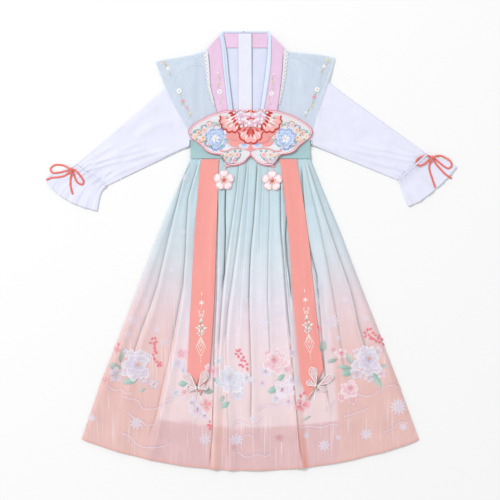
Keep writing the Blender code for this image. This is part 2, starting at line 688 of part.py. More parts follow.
def round_plan(middle, reach):
    """A patch round a middle: u goes round, and v from the middle out."""

    def at(u, v):
        angle = -math.tau * u - math.pi / 2
        radius = reach(angle) * v
        return middle[0] + radius * math.cos(angle), middle[1] + radius * math.sin(angle)

    return at


def make_butterfly():
    under = ("waistband_front", "vest_front_left", "vest_front_right", "collar_left",
             "collar_right", "collar_edging_left", "collar_edging_right", "skirt_front",
             "ribbon_left", "ribbon_right", "zip_guard", "blouse_back", "blouse_front_left",
             "blouse_front_right", "vest_back")
    laid("butterfly", "applique", round_plan(BUTTERFLY_AT, butterfly_reach), (72, 4),
         BUTTERFLY_WALL, under, 0.022, 8, turn=True)

    def petals(angle):
        wide, tall = ROSETTE_REACH
        oval = wide * tall / math.hypot(tall * math.cos(angle), wide * math.sin(angle))
        return oval * (0.86 + 0.14 * abs(math.cos(4.5 * angle)))

    laid("butterfly_rosette", "rosette", round_plan(ROSETTE_AT, petals), (40, 3), RELIEF_WALL,
         ("butterfly",), 0.012, 3, turn=True)
    for hand, sign in (("left", -1), ("right", 1)):
        middle = (BUTTERFLY_AT[0] + sign * BLUE_ROSETTE_AT, BLUE_ROSETTE_Y)
        laid("blue_rosette_" + hand, "blue_rosette",
             round_plan(middle, lambda a: BLUE_ROSETTE * (0.85 + 0.15 * abs(math.cos(3 * a)))),
             (30, 2), RELIEF_WALL, ("butterfly",), 0.008, 3, turn=True)


def make_pendants():
    under = ("skirt_front", "ribbon_left", "ribbon_right")
    for hand, middle in PENDANTS.items():
        laid("pendant_" + hand, "pendant",
             round_plan(middle, lambda a: PENDANT * (0.74 + 0.26 * abs(math.sin(2.5 * a + 0.8)))),
             (40, 2), RELIEF_WALL, under, 0.014, 4, turn=True)
        cord("pendant_loop_" + hand, "pendant", PENDANT_CORD[hand], PENDANT_LOOP, under, 1.5)
    for hand, middle in SMALL_BUTTERFLIES.items():

        def wings(angle):
            wide, long = SMALL_BUTTERFLY
            oval = wide * long / math.hypot(long * math.cos(angle), wide * math.sin(angle))
            return oval * (0.60 + 0.40 * abs(math.sin(2 * angle)))

        laid("small_butterfly_" + hand, "small_butterfly", round_plan(middle, wings), (40, 2),
             CLOTH, under, 0.014, 4, turn=True)


def make_ties():
    for hand, shape in TIES.items():
        under = ("cuff_" + hand, "sleeve_" + hand)
        knot = shape["knot"]

        def at_knot(degrees):
            angle = math.radians(degrees)
            return (knot[0] + KNOT_REACH * math.cos(angle), knot[1] + KNOT_REACH * math.sin(angle))

        for name in ("loop_out", "loop_in", "tail_out", "tail_in"):
            start, route, end = shape[name]
            route = [at_knot(start)] + route + ([] if end is None else [at_knot(end)])
            cord("tie_" + hand + "_" + name, "tie", route, TIE, under)
        mesh = bmesh.new()
        bmesh.ops.create_uvsphere(mesh, u_segments=10, v_segments=6, radius=KNOT)
        floor = heights([knot], under, KNOT)[0]
        for v in mesh.verts:
            v.co.z *= KNOT_FLATNESS
        bmesh.ops.translate(mesh, verts=mesh.verts, vec=(*knot, floor + KNOT_FLATNESS * KNOT))
        data = bpy.data.meshes.new("tie_" + hand + "_knot")
        mesh.to_mesh(data)
        mesh.free()
        finish_object("tie_" + hand + "_knot", data, "tie")


clear_scene()
make_skirt()
make_back()
make_sleeves()
make_fronts()
make_collar()
make_lace()
make_waistband()
make_ribbons()
make_butterfly()
make_pendants()
make_ties()
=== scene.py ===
"""The looks of a child's hanfu dress that lies flat, front up: cloth, prints, embroidery and ties.

Metres, in the frame's own axes: +X to the photograph's right, +Y towards the collar, +Z up from
the table. Each cloth is a thin closed shell on its solid's form. A board keeps the height of all
that has been laid so far, so that the next piece lies on it and never runs through it.
"""

import math
import random

import bmesh
import bpy
import numpy as np
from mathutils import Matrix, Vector
from mathutils.bvhtree import BVHTree


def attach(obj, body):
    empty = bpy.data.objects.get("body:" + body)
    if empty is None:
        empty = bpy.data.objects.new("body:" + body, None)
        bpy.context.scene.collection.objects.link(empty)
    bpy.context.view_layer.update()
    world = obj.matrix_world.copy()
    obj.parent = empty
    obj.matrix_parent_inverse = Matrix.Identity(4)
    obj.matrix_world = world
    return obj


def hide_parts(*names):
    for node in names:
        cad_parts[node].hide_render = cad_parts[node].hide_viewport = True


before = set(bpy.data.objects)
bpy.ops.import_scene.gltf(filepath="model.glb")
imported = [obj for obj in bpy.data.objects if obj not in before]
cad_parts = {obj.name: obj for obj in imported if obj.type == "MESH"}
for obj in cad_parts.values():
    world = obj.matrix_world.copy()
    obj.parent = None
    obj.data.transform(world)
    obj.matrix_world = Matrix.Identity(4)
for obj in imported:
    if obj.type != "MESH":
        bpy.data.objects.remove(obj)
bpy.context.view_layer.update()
draw = random.Random(7)

# Photograph: one of its 500 pixels is this wide on the table, and this pixel is the origin
PIXEL = 0.0023
ORIGIN = (251.0, 250.5)

# Cloth
WALL = 0.0005          # of a plain cloth shell
GAP = 0.0003           # between a piece and what it lies on
LOWEST = 0.00005       # least height of an underside
SHARP = math.radians(50)

# Skirt, as in the solids
WAIST_TOP = 0.2522
WAIST = 0.2105
HEM = -0.505
HEM_RADIUS = 1.094
LINING_HEM = -0.404
LINING_INSET = (0.008, 0.020)
EDGE_SHARE = 0.40
ON_TABLE = 0.0016      # heights that the front's foot has over the back panel and over the lining
ON_LINING = 0.0042
SIDES = [
    # y        left     right
    (0.2105, -0.1390, 0.1360),
    (0.1254, -0.1790, 0.1730),
    (0.0587, -0.2090, 0.2030),
    (-0.0449, -0.2510, 0.2440),
    (-0.1484, -0.2900, 0.2850),
    (-0.2864, -0.3430, 0.3360),
    (-0.4359, -0.3890, 0.3860),
]
# Folds of the skirt, traced in pixels from the waist down. A groove runs along each; the cloth
# rises on one side of it (+1 is the right) to this height and falls off over this width.
FOLDS = {
    # name: (groove, rise, width, side), then px, py down the fold
    "B": ((0.0022, 0.0018, 0.022, 1),
          [(198.3, 163), (192.5, 182), (188.3, 198), (186.5, 225), (185.8, 248), (183, 285),
           (178.8, 307.5), (173.8, 335), (168.8, 360), (163.8, 380), (160, 397.5), (156.3, 415),
           (150, 432.5), (144, 450)]),
    "A": ((0.0016, 0.0016, 0.020, 1),
          [(191, 163), (183, 180), (174, 215), (165.5, 250), (157.5, 285), (150, 307.5),
           (141.3, 330), (135, 350), (129, 372), (122, 400)]),
    "far left": ((0.0010, 0.0012, 0.020, 1),
                 [(187.5, 167), (177, 195), (160, 235), (143, 280), (127, 320), (111, 362),
                  (99, 400)]),
    "C": ((0.0040, 0.0030, 0.020, 1),
          [(217.5, 178), (218, 210), (217.5, 245), (216.5, 300), (214.4, 345), (213.8, 387.5),
           (213, 410), (212.5, 431), (211, 447.5), (209.4, 469)]),
    "pendant": ((0.0034, 0.0010, 0.010, 1),
                [(226.4, 176), (225.8, 193), (225.4, 212), (225.8, 233), (224.5, 272),
                 (222, 292)]),
    "beside C": ((0.0018, 0.0022, 0.014, 1),
                 [(239, 163), (236.7, 188), (230, 235), (226, 262), (223.5, 285), (221, 312),
                  (219, 345), (219, 372)]),
    "D": ((0.0022, 0.0024, 0.022, 1),
          [(247, 163), (244.2, 188), (238.3, 235), (232, 281), (228, 310), (226, 335),
           (226.5, 355), (227, 385), (228, 410), (228.8, 435), (228, 469)]),
    "before E": ((0.0008, 0.0010, 0.016, 1),
                 [(249, 163), (248, 195), (246, 225), (243, 260), (240, 300), (238, 345)]),
    "E": ((0.0030, 0.0022, 0.024, 1),
          [(257.5, 163), (255.3, 197), (253.3, 225), (250.8, 248), (249.6, 272), (249, 300),
           (250, 330), (251, 360), (251.5, 391), (250.5, 425)]),
    "after E": ((0.0014, 0.0010, 0.012, 1),
                [(263, 172), (260.5, 208), (259.5, 235), (259, 262)]),
    "F": ((0.0014, 0.0014, 0.018, 1),
          [(268.6, 170), (269.7, 210), (268.3, 242), (267.5, 297), (268.8, 322), (270, 350),
           (271, 380)]),
    "G": ((0.0040, 0.0030, 0.020, 1),
          [(280.2, 176), (280.5, 205), (280.8, 227), (283, 250), (285.6, 285), (287.5, 310),
           (290, 335), (291, 350), (293, 372.5), (295, 397.5), (297, 412.5), (298, 428.8),
           (300, 447.5), (303, 468)]),
    "ribbon": ((0.0034, 0.0008, 0.008, -1),
               [(286.6, 214), (285.3, 235), (286.9, 262), (289.2, 280), (291, 302)]),
    "H": ((0.0036, 0.0024, 0.018, 1),
          [(302, 172), (303, 190), (304.6, 212), (308.3, 238), (311.7, 255), (316.7, 275),
           (318.3, 293), (319.8, 312), (321.4, 332), (322.8, 348), (324, 362), (325.5, 380),
           (329, 405)]),
    "after H": ((0.0012, 0.0014, 0.018, 1),
                [(305, 163), (312, 195), (320, 228), (327, 262), (333, 295), (338, 325),
                 (343, 362), (348, 395)]),
    "I": ((0.0014, 0.0016, 0.022, -1),
          [(308, 165), (316, 190), (326, 220), (338, 255), (348.8, 285), (353.8, 303.8),
           (357.5, 322.5), (366, 352), (375, 385)]),
    "far right": ((0.0010, 0.0014, 0.022, -1),
                  [(311.5, 167), (324, 197), (342, 240), (358, 280), (372, 315), (387, 352),
                   (398, 390)]),
}
GROOVE_WIDTH = (0.0024, 0.0044)     # half of it, at the waist and at the hem
SWELL = 0.0024          # that the front stands above its lining between the edges

# Bodice, as in the solids
TOP = 0.505
VEST_LEFT_TOP = [(-0.2196, 0.4331), (-0.2001, 0.4382), (-0.1334, 0.4497), (-0.1012, 0.4610)]
VEST_LEFT_SIDE = [(-0.2196, 0.4331), (-0.1960, 0.3726), (-0.1484, 0.2827), (-0.1390, WAIST_TOP)]
VEST_RIGHT_TOP = [(0.1932, 0.4423), (0.1564, 0.4497), (0.0863, 0.4570), (0.0770, 0.4610)]
VEST_RIGHT_SIDE = [(0.1932, 0.4423), (0.1799, 0.3928), (0.1426, 0.2863), (0.1360, WAIST_TOP)]
HANDS = {"left": -1, "right": 1}
BANDS = {
    # outer edge of the brocade, its inner edge, inner edge of the binding
    "left": ([(-0.0989, 0.4634), (-0.0952, 0.4202), (-0.0931, 0.3777), (-0.0805, 0.3248),
              (-0.0665, 0.2700)],
             [(-0.0729, 0.4934), (-0.0678, 0.4680), (-0.0630, 0.4128), (-0.0529, 0.3248),
              (-0.0460, 0.2700)],
             [(-0.0637, 0.5030), (-0.0557, 0.4598), (-0.0490, 0.3921), (-0.0409, 0.3231),
              (-0.0345, 0.2700)]),
    "right": ([(0.0747, 0.4664), (0.0720, 0.4128), (0.0683, 0.3760), (0.0609, 0.3220),
               (0.0506, 0.2700)],
              [(0.0465, 0.4952), (0.0449, 0.4276), (0.0382, 0.3760), (0.0294, 0.3231),
               (0.0207, 0.2700)],
              [(0.0386, 0.5030), (0.0354, 0.4421), (0.0283, 0.3834), (0.0202, 0.3248),
               (0.0115, 0.2700)]),
}
SHOULDERS = {"left": (-0.1000, 0.4530), "right": (0.0790, 0.4540)}
ARMHOLES = {
    "left": [(-0.1587, 0.4083), (-0.1425, 0.2535)],
    "right": [(0.1400, 0.4160), (0.1390, 0.2535)],
}
NECK_LEFT, NECK_RIGHT = -0.0644, 0.0391
COLLAR_DEPTH = 0.039
BINDING = 0.006
GUARD = (-0.0299, 0.0011)
GUARD_END = 0.262
LACE_WIDTH = (0.0130, 0.0040)
LACE_RUN = (0.02, 0.66)
LACE_SCALLOPS = 14
LACE_SCALLOP = 0.0030

BAND_ENDS = SIDES[0][1:]

# Sleeves and cuffs, as in the solids
TURN = 0.004           # of a sleeve's edge, over which its two layers meet
SLEEVES = {
    "left": ([(-0.1300, 0.4400), (-0.1560, 0.4330), (-0.1760, 0.4130), (-0.2012, 0.3715),
              (-0.4050, 0.1964)],
             [(-0.1420, 0.2532), (-0.1428, 0.2380), (-0.1702, 0.2254), (-0.3314, 0.1482)]),
    "right": ([(0.1130, 0.4470), (0.1380, 0.4380), (0.1600, 0.4180), (0.1852, 0.3818),
               (0.4051, 0.2220)],
              [(0.1385, 0.2532), (0.1410, 0.2410), (0.1564, 0.2345), (0.3383, 0.1610)]),
}
CUFFS = {
    "left": ([(-0.4051, 0.1963), (-0.4200, 0.1900), (-0.4623, 0.1759), (-0.4715, 0.1610)],
             [(-0.3314, 0.1481), (-0.3420, 0.1352), (-0.3478, 0.1164), (-0.3524, 0.0906)],
             [(-0.4715, 0.1610), (-0.4556, 0.1398), (-0.4264, 0.1175), (-0.3912, 0.1012),
              (-0.3524, 0.0906)]),
    "right": ([(0.4053, 0.2219), (0.4180, 0.2170), (0.4531, 0.2059), (0.4735, 0.1923)],
              [(0.3384, 0.1608), (0.3440, 0.1420), (0.3489, 0.1297), (0.3611, 0.1010)],
              [(0.4735, 0.1923), (0.4586, 0.1739), (0.4352, 0.1502), (0.3919, 0.1152),
               (0.3611, 0.1010)]),
}

# Ribbons, as in the solids
RIBBONS = {
    "left": {
        "left": [(-0.1141, 0.2095), (-0.1207, 0.1490), (-0.1304, 0.0241), (-0.1364, -0.0886),
                 (-0.1421, -0.2012), (-0.1456, -0.2785)],
        "right": [(-0.0741, 0.2095), (-0.0768, 0.1138), (-0.0800, 0.0241), (-0.0835, -0.0931),
                  (-0.0906, -0.2104), (-0.0964, -0.2834)],
        "tip": (-0.1173, -0.3301),
    },
    "right": {
        "left": [(0.0655, 0.2095), (0.0745, 0.1431), (0.0869, 0.0241), (0.0950, -0.0931),
                 (0.1056, -0.2104), (0.1138, -0.2979)],
        "right": [(0.1037, 0.2095), (0.1155, 0.1431), (0.1320, 0.0241), (0.1412, -0.0697),
                  (0.1484, -0.1401), (0.1624, -0.2456), (0.1656, -0.2702)],
        "tip": (0.1311, -0.3438),
    },
}

# Butterfly, rosettes and pendants, as in the solids
BUTTERFLY_AT = (-0.0010, 0.2620)
BUTTERFLY = [
    # degrees  reach
    (-90, 0.0450),
    (-84, 0.0490),
    (-74, 0.0650),
    (-64, 0.0755),
    (-54, 0.0842),
    (-46, 0.0832),
    (-37, 0.0810),
    (-30, 0.0830),
    (-25, 0.0970),
    (-18, 0.1090),
    (-12, 0.1130),
    (-7, 0.1220),
    (-1, 0.1390),
    (5, 0.1450),
    (9, 0.1390),
    (19, 0.1190),
    (34, 0.0950),
    (57, 0.0710),
    (75, 0.0630),
    (90, 0.0605),
]
ROSETTE_AT = (-0.0010, 0.2760)
ROSETTE_REACH = (0.062, 0.035)
BLUE_ROSETTE_AT = 0.0830
BLUE_ROSETTE_Y = 0.2590
BLUE_ROSETTE = 0.0215
PENDANTS = {"left": (-0.0621, 0.1612), "right": (0.0483, 0.1595)}
PENDANT = 0.0250
PENDANT_CORD = {
    "left": [(-0.0540, 0.1945), (-0.0575, 0.1912), (-0.0600, 0.1876)],
    "right": [(0.0500, 0.1945), (0.0512, 0.1905), (0.0505, 0.1860)],
}
SMALL_BUTTERFLIES = {"left": (-0.1230, -0.3162), "right": (0.1495, -0.3116)}

# Cuff ties, as in the solids: a flat satin ribbon of this width
TIE_WIDTH = 0.0042
TIE_WALL = 0.0011
KNOT = 0.0046
KNOT_FLATNESS = 0.6
KNOT_REACH = 0.0057
TIES = {
    "left": {
        "knot": (-0.4130, 0.1852),
        "loop_out": (140, [(-0.4310, 0.1955), (-0.4500, 0.1968), (-0.4608, 0.1880),
                           (-0.4560, 0.1790), (-0.4400, 0.1795)], 190),
        "loop_in": (20, [(-0.3980, 0.1790), (-0.3850, 0.1610), (-0.3875, 0.1515),
                         (-0.3985, 0.1565), (-0.4050, 0.1690)], 330),
        "tail_out": (240, [(-0.4290, 0.1715), (-0.4430, 0.1685), (-0.4580, 0.1670),
                           (-0.4705, 0.1625)], None),
        "tail_in": (285, [(-0.4140, 0.1650), (-0.4145, 0.1500), (-0.4120, 0.1380),
                          (-0.4090, 0.1290)], None),
    },
    "right": {
        "knot": (0.4165, 0.2130),
        "loop_out": (30, [(0.4370, 0.2175), (0.4556, 0.2070), (0.4607, 0.1955),
                          (0.4531, 0.1885), (0.4414, 0.1945)], 340),
        "loop_in": (150, [(0.4000, 0.2175), (0.3850, 0.2120), (0.3790, 0.2026),
                          (0.3859, 0.1945), (0.3990, 0.1995)], 200),
        "tail_out": (295, [(0.4250, 0.1985), (0.4370, 0.1845), (0.4470, 0.1745),
                           (0.4610, 0.1655)], None),
        "tail_in": (250, [(0.4105, 0.1990), (0.4094, 0.1870), (0.4150, 0.1680),
                          (0.4232, 0.1445)], None),
    },
}


def spot(px, py):
    """The place on the table of a pixel of the photograph."""
    return (px - ORIGIN[0]) * PIXEL, (ORIGIN[1] - py) * PIXEL


def colour(code):
    """A colour written as a web colour, as the shader takes it."""
    parts = [int(code[i:i + 2], 16) / 255 for i in (1, 3, 5)]
    return tuple(p / 12.92 if p <= 0.04045 else ((p + 0.055) / 1.055) ** 2.4 for p in parts)


# Camera, lights and floor

CAMERA_HEIGHT = 2.715
LENS = 85.0
SENSOR = 36.0
WORLD_LIGHT = 0.66
KEY_SHARE = 0.36        # of the light that a white floor sends back
KEY_DIRECTION = (-0.55, 0.55, 0.95)
KEY_DISTANCE = 9.0
KEY_SIZE = 2.4
CAMERA_PIXEL = (250, 250)
FLOOR_SIZE = 12
FLOOR_DROP = 0.0003
PAPER = (0.96, 0.96, 0.96, 1.0)


def make_stage():
    world = bpy.data.worlds.new("studio")
    world.use_nodes = True
    back = world.node_tree.nodes["Background"]
    back.inputs["Color"].default_value = (1.0, 1.0, 1.0, 1.0)
    back.inputs["Strength"].default_value = WORLD_LIGHT
    bpy.context.scene.world = world
    bpy.context.scene.view_settings.view_transform = "Standard"

    light = bpy.data.lights.new("key", "AREA")
    light.shape = "DISK"
    light.size = KEY_SIZE
    towards = Vector(KEY_DIRECTION).normalized()
    light.energy = KEY_SHARE * math.pi**2 * KEY_DISTANCE**2 / towards.z
    key = put("key", light)
    key.location = towards * KEY_DISTANCE
    key.rotation_euler = towards.to_track_quat("Z", "Y").to_euler()

    data = bpy.data.cameras.new("camera")
    data.lens = LENS
    data.sensor_width = SENSOR
    camera = put("camera", data)
    camera.location = (*spot(*CAMERA_PIXEL), CAMERA_HEIGHT)
    bpy.context.scene.camera = camera

    bpy.ops.mesh.primitive_plane_add(size=FLOOR_SIZE, location=(0, 0, -FLOOR_DROP))
    floor = bpy.context.object
    floor.name = "floor"
    paper = new_material("paper", Base_Color=PAPER, Roughness=1.0, Specular_IOR_Level=0.0)[0]
    floor.data.materials.append(paper)


# Board: the height of all that has been laid

CELL = 0.001
BOARD_LOW = (-0.500, -0.540)
board = np.zeros((1080, 1000))


def dense(grid, rows, columns):
    """The grid with this many times as many steps each way, straight between its points."""
    r, c = (np.linspace(0, n - 1, (n - 1) * times + 1)
            for n, times in zip(grid.shape, (rows, columns)))
    r0, c0 = (np.minimum(at.astype(int), n - 2) for at, n in zip((r, c), grid.shape))
    fr, fc = (r - r0)[:, None], (c - c0)[None, :]
    a, b = grid[np.ix_(r0, c0)], grid[np.ix_(r0, c0 + 1)]
    d, e = grid[np.ix_(r0 + 1, c0)], grid[np.ix_(r0 + 1, c0 + 1)]
    return (a * (1 - fc) + b * fc) * (1 - fr) + (d * (1 - fc) + e * fc) * fr


def press(x, y, z):
    """Marks a grid's upper side on the board."""
    down = np.hypot(np.diff(x, axis=0), np.diff(y, axis=0)).max()
    across = np.hypot(np.diff(x, axis=1), np.diff(y, axis=1)).max()
    rows, columns = (max(1, math.ceil(step / (0.7 * CELL))) for step in (down, across))
    x, y, z = (dense(g, rows, columns) for g in (x, y, z))
    i = np.clip(np.round((y - BOARD_LOW[1]) / CELL).astype(int), 0, board.shape[0] - 1)
    j = np.clip(np.round((x - BOARD_LOW[0]) / CELL).astype(int), 0, board.shape[1] - 1)
    np.maximum.at(board, (i, j), z)


def spread(reach):
    """The board with each cell raised to the highest cell within reach of it."""
    wide = board
    for axis in (0, 1):
        wide = np.max([np.roll(wide, k, axis) for k in range(-reach, reach + 1)], axis=0)
    return wide


def read(grid, x, y):
    """The grid's height at plan points, straight between its cells."""
    x, y = np.asarray(x, float), np.asarray(y, float)
    i = np.clip((y - BOARD_LOW[1]) / CELL, 0, grid.shape[0] - 1.001)
    j = np.clip((x - BOARD_LOW[0]) / CELL, 0, grid.shape[1] - 1.001)
    i0, j0 = i.astype(int), j.astype(int)
    fi, fj = i - i0, j - j0
    return ((grid[i0, j0] * (1 - fj) + grid[i0, j0 + 1] * fj) * (1 - fi)
            + (grid[i0 + 1, j0] * (1 - fj) + grid[i0 + 1, j0 + 1] * fj) * fi)


def settle(z, low, rounds, around=False):
    """Eases a grid's heights between neighbours, never below the least that each may be."""
    for _ in range(rounds):
        p = np.pad(z, 1, "edge")
        if around:
            p[1:-1, 0], p[1:-1, -1] = z[:, -2], z[:, 1]
        z = np.maximum(low, (p[:-2, 1:-1] + p[2:, 1:-1] + p[1:-1, :-2] + p[1:-1, 2:]) / 4)
    return z


def solid_top(name, x, y):
    """The height of this solid's upper side at plan points, or of its nearest point."""
    z = np.zeros(x.shape)
    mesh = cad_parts[name].data
    tree = BVHTree.FromPolygons([v.co for v in mesh.vertices], [p.vertices for p in mesh.polygons])
    for index in np.ndindex(x.shape):
        start = Vector((x[index], y[index], 0.1))
        hit = tree.ray_cast(start, Vector((0, 0, -1)))[0]
        if hit is None:
            start.z = 0.02
            hit = tree.find_nearest(start)[0]
        z[index] = max(0.0, hit.z)
    return z


# Plan shapes


def smooth_line(points, steps=8):
    """A smooth curve through the points."""
    p = np.array([points[0], *points, points[-1]], float)
    t = np.linspace(0, 1, steps, endpoint=False)[:, None]
    spans = [
        0.5 * (2 * b + (c - a) * t + (2 * a - 5 * b + 4 * c - d) * t**2
               + (3 * b - a - 3 * c + d) * t**3)
        for a, b, c, d in zip(p, p[1:], p[2:], p[3:])
    ]
    return np.concatenate([*spans, p[-1:]])


def along(points, t):
    """The points at shares t of a line's length."""
    points = np.asarray(points, float)
    steps = np.hypot(*np.diff(points, axis=0).T)
    at = np.concatenate([[0], np.cumsum(steps)]) / (steps.sum() or 1.0)
    return np.interp(t, at, points[:, 0]), np.interp(t, at, points[:, 1])


def grid_shares(columns, rows):
    """Shares across (u) and down (v) for a grid of this many cells."""
    return np.meshgrid(np.linspace(0, 1, columns + 1), np.linspace(0, 1, rows + 1))


def strip(line, offsets):
    """A grid of plan points along a line, at these offsets to its left."""
    ahead = np.gradient(line, axis=0)
    ahead /= np.maximum(np.hypot(*ahead.T)[:, None], 1e-9)
    return line[:, :1] - ahead[:, 1:] * offsets, line[:, 1:] + ahead[:, :1] * offsets


def patch(left, right, cells, top=None, bottom=None):
    """A grid of plan points between four edges. Left and right run from the top to the bottom."""
    top = top if top is not None else [left[0], right[0]]
    bottom = bottom if bottom is not None else [left[-1], right[-1]]
    u, v = grid_shares(*cells)
    a, b, c, d = along(left, v), along(right, v), along(top, u), along(bottom, u)
    corners = (left[0], right[0], left[-1], right[-1])
    weights = ((1 - u) * (1 - v), u * (1 - v), (1 - u) * v, u * v)
    return tuple(
        (1 - u) * a[i] + u * b[i] + (1 - v) * c[i] + v * d[i]
        - sum(w * p[i] for w, p in zip(weights, corners))
        for i in (0, 1)
    )


def side(row, y):
    """The skirt's left (1) or right (2) side edge at this height."""
    table = np.array(SIDES)[::-1]
    return np.interp(y, table[:, 0], table[:, row])


def hem_y(x, middle=HEM):
    return middle + HEM_RADIUS - np.sqrt(HEM_RADIUS**2 - np.asarray(x) ** 2)


def inset(y):
    share = (WAIST - y) / (WAIST - SIDES[-1][0])
    return LINING_INSET[0] + (LINING_INSET[1] - LINING_INSET[0]) * share


def ridges(x, y, table):
    """Soft ridges, or troughs where the height is below zero, each fading at its two ends."""
    z = np.zeros(np.shape(x))
    for x0, y0, x1, y1, height, width in table:
        run = math.hypot(x1 - x0, y1 - y0)
        t = ((x - x0) * (x1 - x0) + (y - y0) * (y1 - y0)) / run**2
        off = ((x - x0) * (y1 - y0) - (y - y0) * (x1 - x0)) / run
        ends = np.clip(np.minimum(t, 1 - t) * 4 + 0.15, 0, 1)
        bow = 0.35 * width * np.sin(math.pi * np.clip(t, 0, 1))
        z += height * np.exp(-(((off - bow) / width) ** 2)) * ends**2 * (3 - 2 * ends)
    return z


# Meshes


def put(name, data):
    """A new object in the scene."""
    thing = bpy.data.objects.new(name, data)
    bpy.context.scene.collection.objects.link(thing)
    return thing


def quads(index):
    """The faces of a grid of vertex numbers."""
    corners = (index[:-1, :-1], index[:-1, 1:], index[1:, 1:], index[1:, :-1])
    return np.stack(corners, -1).reshape(-1, 4)


def add_uvs(mesh, uv):
    """UVs in metres, from a pair for each vertex."""
    loops = np.empty(len(mesh.loops), np.int32)
    mesh.loops.foreach_get("vertex_index", loops)
    layer = mesh.uv_layers.new(name="cloth")
    layer.data.foreach_set("uv", uv[loops].ravel().astype(np.float32))


def add_dye(mesh, dye):
    """A colour for each vertex; on the skirt's front and on ruffled petals it also holds painted
    shade and light.
    """
    rgba = np.ones((len(dye), 4), np.float32)
    rgba[:, :3] = dye
    paint = mesh.color_attributes.new("dye", "FLOAT_COLOR", "POINT")
    paint.data.foreach_set("color", rgba.ravel())


def summed(x, y, axis):
    """Lengths from a grid's first row or column to each of its points."""
    steps = np.hypot(np.diff(x, axis=axis), np.diff(y, axis=axis))
    return np.insert(np.cumsum(steps, axis=axis), 0, 0, axis=axis)


def shell(name, x, y, z, wall=WALL, dye=None, around=False):
    """A closed sheet: its upper side on this grid, and its lower side a wall's thickness below.

    Its UVs are metres across and down the cloth, so that threads and slubs run with the cut.
    """
    count = z.size
    low = np.maximum(z - wall, LOWEST)
    co = np.concatenate([np.stack([x, y, z], -1).reshape(-1, 3),
                         np.stack([x, y, low], -1).reshape(-1, 3)])
    index = np.arange(count).reshape(z.shape)
    top = quads(index)[:, [0, 3, 2, 1]]
    faces = [top, top[:, ::-1] + count]
    edges = [index[0, :], index[-1, ::-1]]
    if not around:
        edges += [index[::-1, 0], index[:, -1]]
    for line in edges:
        p, q = line[:-1], line[1:]
        faces.append(np.stack([p, q, q + count, p + count], -1))
    mesh = bpy.data.meshes.new(name)
    mesh.from_pydata(co, [], np.concatenate(faces))
    across, down = summed(x, y, 1), summed(x, y, 0)
    if not around:
        across -= across[:, -1:] / 2
    add_uvs(mesh, np.tile(np.stack([across, down], -1).reshape(-1, 2), (2, 1)))
    if dye is not None:
        add_dye(mesh, np.tile(np.asarray(dye).reshape(-1, 3), (2, 1)))
    work = bmesh.new()
    work.from_mesh(mesh)
    if around:
        bmesh.ops.remove_doubles(work, verts=work.verts, dist=1e-6)
        bmesh.ops.dissolve_degenerate(work, edges=work.edges, dist=1e-7)
    bmesh.ops.recalc_face_normals(work, faces=work.faces)
    work.to_mesh(mesh)
    work.free()
    mesh.shade_smooth()
    mesh.set_sharp_from_angle(angle=SHARP)
    return put(name, mesh)


def finish(thing, material, slot, *nodes):
    """Gives a piece its material, on the one body, in place of these solids. Its slot is not used.
    """
    thing.data.materials.clear()
    thing.data.materials.append(material)
    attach(thing, "root")
    if nodes:
        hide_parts(*nodes)
    return thing


# Materials

STREAKS = (700.0, 14.0, 1.0)            # of the threads' colour, across and down the cloth
THICK_THREADS = (430.0, 7.0, 1.0)
WAVE_SCALE = 0.314


def new_material(name, **values):
    """A material whose shader has these values, with short ways to add and to join its nodes."""
    material = bpy.data.materials.new(name)
    material.use_nodes = True
    tree = material.node_tree
    shader = tree.nodes["Principled BSDF"]
    for key, value in values.items():
        shader.inputs[key.replace("_", " ")].default_value = value

    def node(kind, **values):
        made = tree.nodes.new("ShaderNode" + kind)
        for key, value in values.items():
            if hasattr(made, key):
                setattr(made, key, value)
            else:
                made.inputs[key.replace("_", " ")].default_value = value
        return made

    def join(a, out, b, into):
        tree.links.new(a.outputs[out], b.inputs[into])

    return material, shader, node, join


